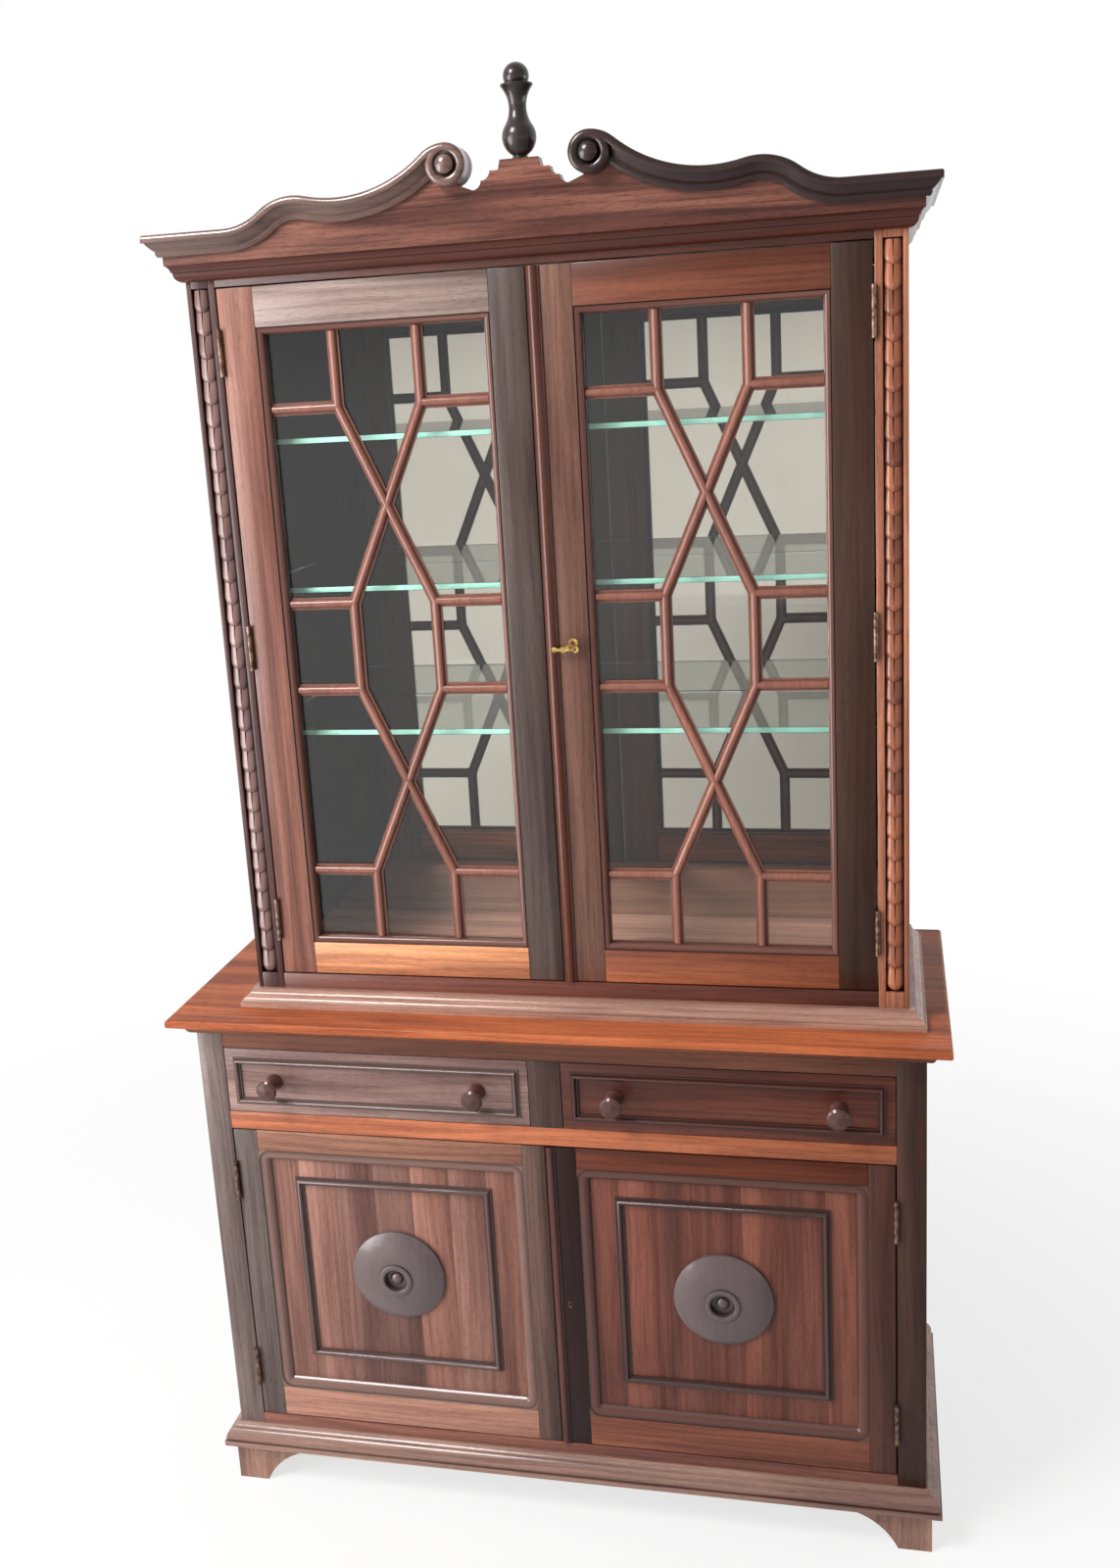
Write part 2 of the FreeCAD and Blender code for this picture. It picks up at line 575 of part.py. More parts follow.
def bracket(name, role, along, across, toward, length, reverse, x, y):
    """One bracket board of a foot, hollowed on the side away from its corner."""
    def place(width):
        return "%s * (%s)" % (along, width)
    corners = [(place(across), "0"), (place("foot_width"), "0", "foot_round", toward),
               (place("foot_spread"), "foot_height - foot_edge"),
               (place("foot_spread"), "foot_height"), (place(across), "foot_height")]
    return prism(name, role, corners, length, reverse, x=x, y=y)


# Bracket feet: a front board over a side board at each front corner, a side board and a plain
# back board at each back corner.
foot_x = "base_half + foot_reach"
front_bracket = bracket("foot_front", "XZ_Plane", "-1", "0", 1, "foot_board", True,
                        foot_x, "front_y - foot_reach")
side_bracket = bracket("foot_side", "YZ_Plane", "1", "foot_board", -1, "foot_board", False,
                       "base_half + foot_reach - foot_board", "front_y - foot_reach")
back_bracket = bracket("foot_back_side", "YZ_Plane", "-1", "foot_board", 1, "foot_board", False,
                       "base_half + foot_reach - foot_board", "back_y")
back_block = board("foot_back", "base_half + foot_reach - foot_width", "back_y - foot_board", "0",
                   "foot_width", "foot_board", "foot_height")
right_feet = [front_bracket, side_bracket, back_bracket, back_block]
gather("bracket_feet", right_feet + [mirrored(piece.Name + "_left", piece)
                                     for piece in right_feet])


# Upper case: boards, mirror back, front frame with the recesses of its carved strips.
def carcass_board(name, y, z, depth, height):
    """A board from side to side of the upper case, made about its centre line."""
    return board(name, "-1 * (upper_half - side_board)", y, z,
                 "2 * (upper_half - side_board)", depth, height)


def placed(name, pieces):
    """A sub-part of the upper case gathered from pieces made about its centre line."""
    return shifted(gather(name, pieces))


upper_side = board("upper_side", "upper_half - side_board", "upper_y + face_thick",
                   "base_height", "side_board", "upper_back_y - upper_y - face_thick",
                   "z_pediment - base_height")
placed("upper_sides", [upper_side, mirrored("upper_side_left", upper_side)])
placed("upper_floor", [
    carcass_board("upper_floor_board", "upper_y + face_thick", "z_glazed - door_gap - side_board",
                  "back_frame_y - upper_y - face_thick", "side_board")])
placed("upper_roof", [
    carcass_board("upper_roof_board", "upper_y + face_thick", "z_cornice",
                  "back_frame_y - upper_y - face_thick", "side_board")])
placed("mirror", [
    carcass_board("mirror_glass", "mirror_y", "z_glazed - door_gap",
                  "mirror_thick", "z_cornice - z_glazed + door_gap")])
back_stile = board("back_stile_board", "upper_half - side_board - back_stile", "back_frame_y",
                   "base_height", "back_stile", "back_frame", "z_pediment - base_height")
placed("upper_back_panel", [
    carcass_board("mirror_backing", "back_board_y", "z_glazed - door_gap",
                  "upper_back", "z_cornice - z_glazed + door_gap"),
    back_stile, mirrored("back_stile_left", back_stile),
    board("back_rail_low", "-1 * (upper_half - side_board - back_stile)", "back_frame_y",
          "base_height", "2 * (upper_half - side_board - back_stile)", "back_frame",
          "back_stile"),
    board("back_rail_high", "-1 * (upper_half - side_board - back_stile)", "back_frame_y",
          "z_pediment - back_stile", "2 * (upper_half - side_board - back_stile)",
          "back_frame", "back_stile")])

stile_board = board("upper_stile_board", "upper_open", "upper_y", "base_height",
                    "upper_stile", "face_thick", "z_pediment - base_height")
strip_recess = board("strip_recess_space", "strip_offset - strip_width / 2",
                     "upper_y - overrun", "z_glazed", "strip_width",
                     "strip_recess + overrun", "glazed_door_height")
recessed_stile = cut("upper_stile_right", stile_board, strip_recess)
placed("upper_front_stiles", [recessed_stile, mirrored("upper_stile_left", recessed_stile)])
strip = prism("carved_strip", "XY_Plane",
              [("strip_offset - strip_width / 2", "upper_y + strip_recess"),
               ("strip_offset + strip_width / 2", "upper_y + strip_recess"),
               ("strip_offset + strip_width / 2", "upper_y + strip_recess - strip_edge",
                "strip_round", -1),
               ("strip_offset - strip_width / 2", "upper_y + strip_recess - strip_edge")],
              "glazed_door_height - 2 * strip_end", z="z_glazed + strip_end")
placed("carved_strips", [strip, mirrored("carved_strip_left", strip)])
placed("upper_rails", [
    board("upper_rail_low", "-1 * upper_open", "upper_y", "base_height",
          "2 * upper_open", "face_thick", "z_glazed - base_height"),
    board("upper_rail_high", "-1 * upper_open", "upper_y", "z_glazed_top",
          "2 * upper_open", "face_thick", "z_pediment - z_glazed_top")])

shifted(moulding("waist_moulding",
                 [("0", "0"), ("waist_reach", "0"), ("waist_reach", "waist_lip"),
                  ("waist_reach - waist_quirk", "waist_lip", "waist_curve", 1),
                  ("waist_middle", "waist_lip + waist_rise", "waist_curve", -1),
                  ("waist_step", "waist_height"), ("0", "waist_height")],
                 "upper_half", "upper_y", "upper_back_y", "base_height", "z_waist",
                 "waist_reach"))
shifted(moulding("cornice_moulding",
                 [("0", "0"), ("cornice_step", "0", "cornice_curve", 1),
                  ("cornice_middle", "cornice_rise"),
                  ("cornice_middle + cornice_step", "cornice_rise"),
                  ("cornice_middle + cornice_step", "cornice_rise + cornice_step",
                   "cornice_curve", -1),
                  ("cornice_reach", "cornice_height"), ("0", "cornice_height")],
                 "upper_half", "upper_y", "upper_back_y", "z_cornice", "z_pediment",
                 "cornice_reach"))

# Glass shelves on brass pins.
shelves = []
pins = []
for level in range(3):
    shelf_z = "z_glazed + (shelf_first_share + %d * shelf_pitch_share) * glazed_door_height" % level
    shelves.append(board("shelf_%d" % level, "-1 * (upper_half - side_board - shelf_side_gap)",
                         "upper_y + shelf_front", shelf_z,
                         "2 * (upper_half - side_board - shelf_side_gap)",
                         "mirror_y - upper_y - shelf_front - shelf_back_gap", "shelf_thick"))
    for end, pin_y in (("front", "upper_y + shelf_front + pin_inset"),
                       ("back", "mirror_y - shelf_back_gap - pin_inset")):
        pin = doc.addObject("Part::Cylinder", "pin_%s_%d" % (end, level))
        bind(pin, Radius="shelf_pin", Height="pin_length")
        pin.Placement.Rotation = FreeCAD.Rotation(Vector(0, 1, 0), 90)
        seat(pin, "upper_half - side_board - pin_length", pin_y, shelf_z + " - shelf_pin")
        pins += [pin, mirrored(pin.Name + "_left", pin)]
placed("glass_shelves", shelves)
placed("shelf_pins", pins)


# Drawers: a front with its bead, a box behind it and two turned knobs.
def section(points, place):
    """A closed outline in space. A point is an inward and an outward distance; with four numbers
    it is the end of an arc and a point on its way."""
    edges = []
    start = place(*points[0][:2])
    for point in points[1:] + [points[0][:2]]:
        end = place(*point[:2])
        if len(point) == 4:
            edges.append(Part.Arc(start, place(*point[2:]), end).toShape())
        else:
            edges.append(Part.LineSegment(start, end).toShape())
        start = end
    return Part.Face(Part.Wire(edges))


def mitred_frame(points, left, right, low, high, y):
    """Four mitred lengths with the same section round a rectangle, worked inwards from it."""
    corners = [Vector(left, y, low), Vector(right, y, low), Vector(right, y, high),
               Vector(left, y, high)]
    inwards = (Vector(0, 0, 1), Vector(-1, 0, 0), Vector(0, 0, -1), Vector(1, 0, 0))
    width = max(point[0] for point in points)
    depth = max(abs(point[1]) for point in points)
    lengths = []
    for index, inward in enumerate(inwards):
        start, end = corners[index], corners[(index + 1) % 4]
        run = end - start
        along = Vector(run)
        along.normalize()
        profile = section(points, lambda s, t: start + inward * s - Vector(0, t, 0))
        ends = [start, end, end + (inward - along) * width, start + (inward + along) * width]
        mitre = Part.Face(Part.makePolygon(ends + [start]))
        mitre.translate(Vector(0, -2 * depth, 0))
        lengths.append(profile.extrude(run).common(mitre.extrude(Vector(0, 4 * depth, 0))))
    return lengths


def half_round(width, height, step):
    """The section of a bead: a rounded back over two flat shoulders."""
    return [(0, 0), (0, height - step), (step, height - step),
            (width - step, height - step, width / 2, height), (width, height - step), (width, 0)]


def shape_part(name, shapes):
    """Pieces worked out in code, as one object that is still to be gathered."""
    piece = doc.addObject("Part::Feature", name)
    piece.Shape = Part.makeCompound(shapes)
    return piece


for side, sign in (("left", -1), ("right", 1)):
    front_x = "drawer_in + drawer_gap" if sign > 0 else "-1 * (open_half - drawer_gap)"
    width = "open_half - drawer_in - 2 * drawer_gap"
    bead = mitred_frame(
        half_round(size("bead_width"), size("bead_height"), size("bead_step")),
        value_of(front_x + " + bead_inset"), value_of(front_x + " + " + width + " - bead_inset"),
        value_of("z_drawer + drawer_gap + bead_inset"),
        value_of("z_top_rail - drawer_gap - bead_inset"), value_of("front_y"))
    gather(side + "_drawer_front", [
        board(side + "_drawer_board", front_x, "front_y", "z_drawer + drawer_gap", width,
              "door_thick", "drawer_height - 2 * drawer_gap"),
        shape_part(side + "_drawer_bead", bead)])
    box_height = "drawer_height - drawer_drop - fit_gap"
    box_depth = "drawer_depth - door_thick"
    gather(side + "_drawer_box", [
        board(side + "_drawer_side_a", front_x, "front_y + door_thick", "z_drawer + fit_gap",
              "drawer_side", box_depth, box_height),
        board(side + "_drawer_side_b", front_x + " + " + width + " - drawer_side",
              "front_y + door_thick", "z_drawer + fit_gap", "drawer_side", box_depth, box_height),
        board(side + "_drawer_back", front_x + " + drawer_side",
              "front_y + drawer_depth - drawer_side", "z_drawer + fit_gap",
              width + " - 2 * drawer_side", "drawer_side", box_height),
        board(side + "_drawer_bottom", front_x + " + drawer_side", "front_y + door_thick",
              "z_drawer + drawer_bottom", width + " - 2 * drawer_side",
              box_depth + " - drawer_side", "drawer_bottom")])
    knobs = []
    for number, offset in enumerate(("-1 * knob_offset", "knob_offset")):
        knobs.append(turned(
            "%s_knob_%d" % (side, number), "XY_Plane",
            [("0", "0"), ("0", "-1 * knob_reach"),
             ("knob_disc - knob_rim", "knob_rim - knob_reach"),
             ("knob_disc", "2 * knob_rim - knob_reach", "knob_lip", 1),
             ("knob_disc - knob_rim", "knob_lip - knob_reach"),
             ("knob_neck", "knob_lip - knob_reach + knob_rim", "knob_curve", -1),
             ("knob_foot", "-1 * knob_rim"), ("knob_foot", "0")],
            "%d * drawer_mid + %s" % (sign, offset), "front_y", "z_drawer + drawer_height / 2"))
    gather(side + "_drawer_knobs", knobs)


# Hinges: a leaf on the case and a leaf on the door with knuckles that take turns along the pin.
KNUCKLES = 5


def hinge(x, face, middle, side):
    """The case's leaf with the pin and the door's leaf of one butt hinge. side is 1 where the
    case lies to the right of the pin."""
    length, leaf, gap = size("hinge_length"), size("hinge_leaf"), size("door_gap")
    reach, play = size("hinge_out"), size("fit_gap")
    low = middle - length / 2
    axis = Vector(x, face - reach, low)
    step = length / KNUCKLES
    leaves = []
    for holder in (side, -side):
        inner = x + holder * (gap / 2 - leaf)
        west = min(inner, inner + holder * leaf)
        shape = Part.makeBox(leaf, size("hinge_depth"), length, Vector(west, face, low))
        for knuckle in range(KNUCKLES):
            if (knuckle % 2 == 0) == (holder == side):
                trim = 0 if holder == side else play
                foot = axis + Vector(0, 0, knuckle * step + trim)
                height = step - 2 * trim
                tongue = Part.makeBox(leaf, reach, height, Vector(west, axis.y, foot.z))
                barrel = Part.makeCylinder(size("knuckle_round"), height, foot)
                shape = shape.fuse([tongue, barrel])
        if holder == side:
            shape = shape.fuse(Part.makeCylinder(size("pin_round"), length, axis))
        else:
            shape = shape.cut(Part.makeCylinder(size("pin_round") + size("pin_gap"), length, axis))
        leaves.append(shape.removeSplitter())
    return leaves


UPPER_HINGES = ("upper_hinge_low", "upper_hinge_middle", "upper_hinge_high")
LOWER_HINGES = ("lower_hinge_low", "lower_hinge_high")
case_leaves = []
door_leaves = {}
for side, sign in (("left", -1), ("right", 1)):
    for kind, names, reach, face in (
            ("glazed", UPPER_HINGES, "upper_hinge_x", "upper_y"),
            ("panel", LOWER_HINGES, "lower_hinge_x", "front_y")):
        shift = size("upper_shift") if kind == "glazed" else 0
        pairs = [hinge(shift + sign * size(reach), size(face), size(name), sign)
                 for name in names]
        case_leaves += [pair[0] for pair in pairs]
        door_leaves[side, kind] = [pair[1] for pair in pairs]
solid("case_hinge_leaves", Part.makeCompound(case_leaves))


# Locks: a case let into the meeting stile from behind, with a bolt that runs into the other door.
def lock_space(name, x, face, rise, z):
    """The pocket for a lock case together with its keyhole."""
    pocket = board(name + "_pocket", x, face + " + lock_set", "%s + %s - lock_height / 2"
                   % (z, rise), "lock_width", "door_thick - lock_set + overrun", "lock_height")
    bore = doc.addObject("Part::Cylinder", name + "_bore")
    bind(bore, Radius="keyhole_round", Height="lock_set + 2 * overrun")
    bore.Placement.Rotation = FreeCAD.Rotation(Vector(1, 0, 0), -90)
    seat(bore, "lock_x", face + " - overrun", "%s + %s" % (z, rise))
    space = doc.addObject("Part::Fuse", name)
    space.Base = pocket
    space.Tool = bore
    return space


def bolt_board(name, x, face, rise, z, play="0", length="bolt_length"):
    """The bolt, or with some play the way that it needs."""
    return board(name, x, "%s + lock_set + lock_thick / 2 - bolt_thick / 2 - %s" % (face, play),
                 "%s + %s + bolt_rise - %s" % (z, rise, play), length,
                 "bolt_thick + 2 * %s" % play, "bolt_height + 2 * %s" % play)


def lock_case(name, x, face, rise, z):
    """A thin-walled lock case with a slot for its bolt and a hole for the key."""
    low = "%s + %s - lock_height / 2" % (z, rise)
    shell = board(name + "_shell", x, face + " + lock_set", low, "lock_width", "lock_thick",
                  "lock_height")
    inside = board(name + "_inside", x + " + lock_wall", face + " + lock_set + lock_wall",
                   low + " + lock_wall", "lock_width - 2 * lock_wall",
                   "lock_thick - 2 * lock_wall", "lock_height - 2 * lock_wall")
    slot = bolt_board(name + "_slot", x + " - overrun", face, rise, z, "fit_gap",
                      "lock_wall + 2 * overrun")
    bore = doc.addObject("Part::Cylinder", name + "_bore")
    bind(bore, Radius="keyhole_round", Height="lock_wall + overrun")
    bore.Placement.Rotation = FreeCAD.Rotation(Vector(1, 0, 0), -90)
    seat(bore, "lock_x", face + " + lock_set - overrun / 2", "%s + %s" % (z, rise))
    holes = doc.addObject("Part::MultiFuse", name + "_holes")
    holes.Shapes = [inside, slot, bore]
    return cut(name, shell, holes)


MEETING = {"left": "-1 * meeting_offset - door_gap / 2",
           "right": "-1 * meeting_offset + door_gap / 2"}


def door_frame(side, kind, face, half, inner, outer, z, low, high, top, rise):
    """Two stiles and two rails round an opening. The meeting stile takes the lock on the right
    and the bolt on the left."""
    name = "%s_%s_door" % (side, kind)
    height = "%s - %s - 2 * door_gap" % (top, z)
    sill = z + " + door_gap"
    edge = MEETING[side]
    far = "%s - door_gap" % half
    stile_width = far + " - " + outer
    if side == "left":
        outer_x, inner_x, rail_x = "-1 * (%s)" % far, "-1 * " + inner, "-1 * " + outer
        meeting_width = edge + " + " + inner
    else:
        outer_x, inner_x, rail_x = outer, edge, inner
        meeting_width = "%s - (%s)" % (inner, edge)
    meeting = board(name + "_meeting_board", inner_x, face, sill, meeting_width, "door_thick",
                    height)
    if side == "left":
        tool = bolt_board(name + "_mortise", edge + " - bolt_travel + door_gap - fit_gap", face,
                          rise, z, "fit_gap", "bolt_travel + overrun")
    else:
        tool = lock_space(name + "_lock_space", edge, face, rise, z)
    rail_width = outer + " - " + inner
    return [
        board(name + "_stile", outer_x, face, sill, stile_width, "door_thick", height),
        cut(name + "_meeting", meeting, tool),
        board(name + "_low_rail", rail_x, face, sill, rail_width, "door_thick",
              "%s - %s - door_gap" % (low, z)),
        board(name + "_high_rail", rail_x, face, high, rail_width, "door_thick",
              "%s - door_gap - %s" % (top, high))]


def half_bead(width, height, step):
    """The section of an astragal with a flat step on each side of its round."""
    return [(0, 0), (0, step), (step, step), (width - step, step, width / 2, height),
            (width, step), (width, 0)]


def astragal(name, face, z, top, width, height):
    """The bead that covers the edge of the right-hand door along the meeting line."""
    left = value_of(MEETING["right"])
    low = value_of(z + " + door_gap")
    front = value_of(face)
    profile = section(half_bead(size(width), size(height), size("bead_step")),
                      lambda s, t: Vector(left + s, front - t, low))
    return solid(name, profile.extrude(Vector(0, 0, value_of(top + " - door_gap") - low)))


# Glazed doors: sash moulding, thirteen panes and mitred glazing bars.
def lattice():
    """The glazing pattern about the middle of a door's opening: places where bars meet or end,
    bars between them and panes bounded by them."""
    across = (size("glass_out") - size("glazed_opening_edge")) / 2
    up = (size("glass_high") - size("glass_low")) / 2
    column = across * size("column_share")
    outer, inner = up * size("outer_level_share"), up * size("inner_level_share")
    cross = (outer + inner) / 2
    bars = []
    panes = []
    for v in (-1, 1):
        bars += [((0, v * cross), (u * column, v * level))
                 for u in (-1, 1) for level in (outer, inner)]
        for u in (-1, 1):
            bars.append(((u * column, v * outer), (u * column, v * up)))
            bars += [((u * column, v * level), (u * across, v * level))
                     for level in (outer, inner)]
            panes.append([(u * column, v * up), (u * across, v * up), (u * across, v * outer),
                          (u * column, v * outer)])
            panes.append([(u * across, v * outer), (u * across, v * inner),
                          (u * column, v * inner), (0, v * cross), (u * column, v * outer)])
        panes.append([(-column, v * up), (column, v * up), (column, v * outer), (0, v * cross),
                      (-column, v * outer)])
    for u in (-1, 1):
        bars.append(((u * column, -inner), (u * column, inner)))
        panes.append([(u * column, inner), (u * across, inner), (u * across, -inner),
                      (u * column, -inner)])
    panes.append([(-column, inner), (0, cross), (column, inner), (column, -inner), (0, -cross),
                  (-column, -inner)])
    return across, up, bars, panes


def mitre_points(node, way, ways, half_width, side):
    """Where one side of a bar meets its neighbour at a node."""
    angle = math.atan2(way[1], way[0])
    turns = [(side * (math.atan2(other[1], other[0]) - angle)) % (2 * math.pi)
             for other in ways if other != way]
    bisector = angle + side * min(turns) / 2
    reach = half_width / math.sin(min(turns) / 2)
    return (node[0] + reach * math.cos(bisector), node[1] + reach * math.sin(bisector))


def glazing_bars(centre, middle, glass_y):
    """Every bar of a door as its own mitred length."""
    across, up, bars, panes = lattice()
    half_width = size("bar_width") / 2
    fillet, bead, rib = size("bar_fillet"), size("bar_round"), size("rib_width") / 2
    depth = size("rib_depth")
    outline_points = [(-half_width, 0), (-half_width, fillet), (-bead, fillet),
                      (bead, fillet, 0, fillet + bead), (half_width, fillet), (half_width, 0),
                      (rib, 0), (rib, -depth), (-rib, -depth), (-rib, 0)]
    stop = {"u": across - size("sash_width"), "v": up - size("sash_width")}
    meets = {}
    for start, end in bars:
        for here, there in ((start, end), (end, start)):
            span = math.hypot(there[0] - here[0], there[1] - here[1])
            way = ((there[0] - here[0]) / span, (there[1] - here[1]) / span)
            meets.setdefault(here, []).append(way)
    shapes = []
    for start, end in bars:
        corners = []
        for here, there in ((start, end), (end, start)):
            span = math.hypot(there[0] - here[0], there[1] - here[1])
            way = ((there[0] - here[0]) / span, (there[1] - here[1]) / span)
            if len(meets[here]) > 1:
                corners.append(mitre_points(here, way, meets[here], half_width, 1))
                corners.insert(-1, here)
                corners.insert(-2, mitre_points(here, way, meets[here], half_width, -1))
            else:
                tip = (max(-stop["u"], min(stop["u"], here[0])),
                       max(-stop["v"], min(stop["v"], here[1])))
                corners.append((tip[0] + way[1] * half_width, tip[1] - way[0] * half_width))
                corners.append((tip[0] - way[1] * half_width, tip[1] + way[0] * half_width))
        run = Vector(end[0] - start[0], 0, end[1] - start[1])
        along = Vector(run)
        along.normalize()
        beside = Vector(-along.z, 0, along.x)
        origin = Vector(centre + start[0], glass_y, middle + start[1]) - along * size("bar_width")
        profile = section(outline_points, lambda s, t: origin + beside * s - Vector(0, t, 0))
        stick = profile.extrude(run + along * 2 * size("bar_width"))
        points = [Vector(centre + u, glass_y - size("glass_set"), middle + v) for u, v in corners]
        plan = Part.Face(Part.makePolygon(points + points[:1]))
        shapes.append(stick.common(plan.extrude(Vector(0, 2 * size("glass_set"), 0))))
    return shapes


def inset(points, gaps):
    """The outline moved inwards, each edge by its own distance."""
    count = len(points)
    turn = sum(points[i][0] * points[(i + 1) % count][1] - points[(i + 1) % count][0] * points[i][1]
               for i in range(count))
    lines = []
    for index, start in enumerate(points):
        end = points[(index + 1) % count]
        span = math.hypot(end[0] - start[0], end[1] - start[1])
        way = ((end[0] - start[0]) / span, (end[1] - start[1]) / span)
        inward = (-way[1], way[0]) if turn > 0 else (way[1], -way[0])
        lines.append(((start[0] + inward[0] * gaps[index], start[1] + inward[1] * gaps[index]),
                      way))
    corners = []
    for index, (here, way) in enumerate(lines):
        before, last = lines[index - 1]
        crossing = last[0] * way[1] - last[1] * way[0]
        travel = ((here[0] - before[0]) * way[1] - (here[1] - before[1]) * way[0]) / crossing
        corners.append((before[0] + last[0] * travel, before[1] + last[1] * travel))
    return corners


def glass_panes(centre, middle, glass_y):
    """Thirteen panes, each clear of its neighbours by the rib of a bar."""
    across, up, bars, panes = lattice()
    gap = size("pane_gap")
    shapes = []
    for points in panes:
        gaps = []
        for index, (u, v) in enumerate(points):
            other_u, other_v = points[(index + 1) % len(points)]
            at_edge = (abs(u) == across and u == other_u) or (abs(v) == up and v == other_v)
            gaps.append(gap if at_edge else gap + size("rib_width") / 2)
        corners = [Vector(centre + u, glass_y, middle + v) for u, v in inset(points, gaps)]
        pane = Part.Face(Part.makePolygon(corners + corners[:1]))
        shapes.append(pane.extrude(Vector(0, size("pane_thick"), 0)))
    return shapes


for side, sign in (("left", -1), ("right", 1)):
    name = side + "_glazed_door"
    inner, outer = size("glazed_opening_edge"), size("glass_out")
    glass_y = value_of("upper_y + glass_set")
    sash_depth = size("glass_set") - size("sash_quirk") / 2
    quirk, sash = size("sash_quirk"), size("sash_width")
    ovolo = sash - quirk
    sash_profile = [(0, 0), (0, sash_depth), (quirk, sash_depth),
                    (sash, sash_depth - ovolo, quirk + ovolo * math.sqrt(0.5),
                     sash_depth - ovolo + ovolo * math.sqrt(0.5)), (sash, 0)]
    sash_lengths = mitred_frame(sash_profile, min(sign * inner, sign * outer),
                                max(sign * inner, sign * outer), size("glass_low"),
                                size("glass_high"), glass_y)
    placed(name + "_frame", door_frame(
        side, "glazed", "upper_y", "upper_open", "glazed_opening_edge", "glass_out", "z_glazed",
        "glass_low", "glass_high", "z_glazed_top", "upper_lock_rise")
        + [shape_part(name + "_sash", sash_lengths)])
    centre = sign * (inner + outer) / 2
    middle = (size("glass_low") + size("glass_high")) / 2
    for part, shapes in (("glazing_bars", glazing_bars(centre, middle, glass_y)),
                         ("panes", glass_panes(centre, middle, glass_y))):
        shifted(solid(name + "_" + part, Part.makeCompound(shapes)))
    solid(name + "_hinge_leaves", Part.makeCompound(door_leaves[side, "glazed"]))
shifted(astragal("right_glazed_door_astragal", "upper_y", "z_glazed", "z_glazed_top",
                 "astragal_width", "astragal_height"))
placed("right_glazed_door_lock", [lock_case("upper_lock_case", MEETING["right"], "upper_y",
                                            "upper_lock_rise", "z_glazed")])
placed("lock_bolt", [bolt_board("upper_bolt", MEETING["right"], "upper_y", "upper_lock_rise",
                                "z_glazed")])

# The key in the upper lock: shank, bit and a bow with a ring, an eye and a plain arm.
key_face, key_z = size("upper_y"), value_of("z_glazed + upper_lock_rise")
key_x, key_front = size("lock_x"), size("upper_y") - size("key_out") - size("key_plate")


def disc(x, z, radius, depth=size("key_plate"), y=key_front):
    """A disc square to the shank."""
    return Part.makeCylinder(radius, depth, Vector(key_x + x, y, key_z + z), Vector(0, 1, 0))


def bow_bar(x, z):
    """A bar of the bow from the shank to one of its ends."""
    length = math.hypot(x, z)
    bar = Part.makeBox(length, size("key_plate"), size("key_bar"),
                       Vector(0, 0, -size("key_bar") / 2))
    bar.rotate(Vector(0, 0, 0), Vector(0, 1, 0), -math.degrees(math.atan2(z, x)))
    bar.translate(Vector(key_x, key_front, key_z))
    return bar


shank_end = key_face + size("lock_set") + size("lock_thick") - size("lock_wall") - size("fit_gap")
bit_y = key_face + size("lock_set") + size("lock_thick") / 2 - size("bolt_thick") / 2
bit = Part.makeBox(size("bit_thick"), size("bolt_thick"), size("key_bit"),
                   Vector(key_x - size("bit_thick") / 2, bit_y, key_z - size("key_bit")))
key = disc(0, 0, size("key_shank"), shank_end - key_front)
key = key.fuse([bit, disc(0, 0, size("key_hub")), bow_bar(-size("key_arm"), 0),
                disc(-size("key_arm"), 0, size("key_knob")),
                bow_bar(size("ring_x"), size("ring_z")), bow_bar(size("eye_x"), 0),
                disc(size("ring_x"), size("ring_z"), size("ring_round")),
                disc(size("eye_x"), 0, size("eye_round"))])
key = key.cut([disc(size("ring_x"), size("ring_z"), size("ring_hole")),
               disc(size("eye_x"), 0, size("eye_hole"))]).removeSplitter()
shifted(solid("key", key))


# Panel doors: a thumb moulding with rounded corners, a panel, a square bead and a turned boss.
def thumb_moulding(left, right, low, high, front):
    """The moulding round a panel opening, mitred into four lengths."""
    depth, width, edge = size("panel_set"), size("thumb_width"), size("corner_round")
    ring = Part.makeBox(right - left, depth, high - low, Vector(left, front, low))
    inside = Part.makeBox(right - left - 2 * width, depth, high - low - 2 * width,
                          Vector(left + width, front, low + width))
    upright = [item for item in inside.Edges if abs(item.tangentAt(item.FirstParameter).y) > 0.5]
    ring = ring.cut(inside.makeFillet(edge - width, upright))
    rim = [item for item in ring.Edges
           if abs(item.CenterOfMass.y - front) < width / 100
           and left + width / 2 < item.CenterOfMass.x < right - width / 2
           and low + width / 2 < item.CenterOfMass.z < high - width / 2]
    ring = ring.makeFillet(size("thumb_round"), rim)
    mitres = mitred_frame([(0, -depth), (0, depth), (2 * edge, depth), (2 * edge, -depth)],
                          left, right, low, high, front)
    return [ring.common(mitre) for mitre in mitres]


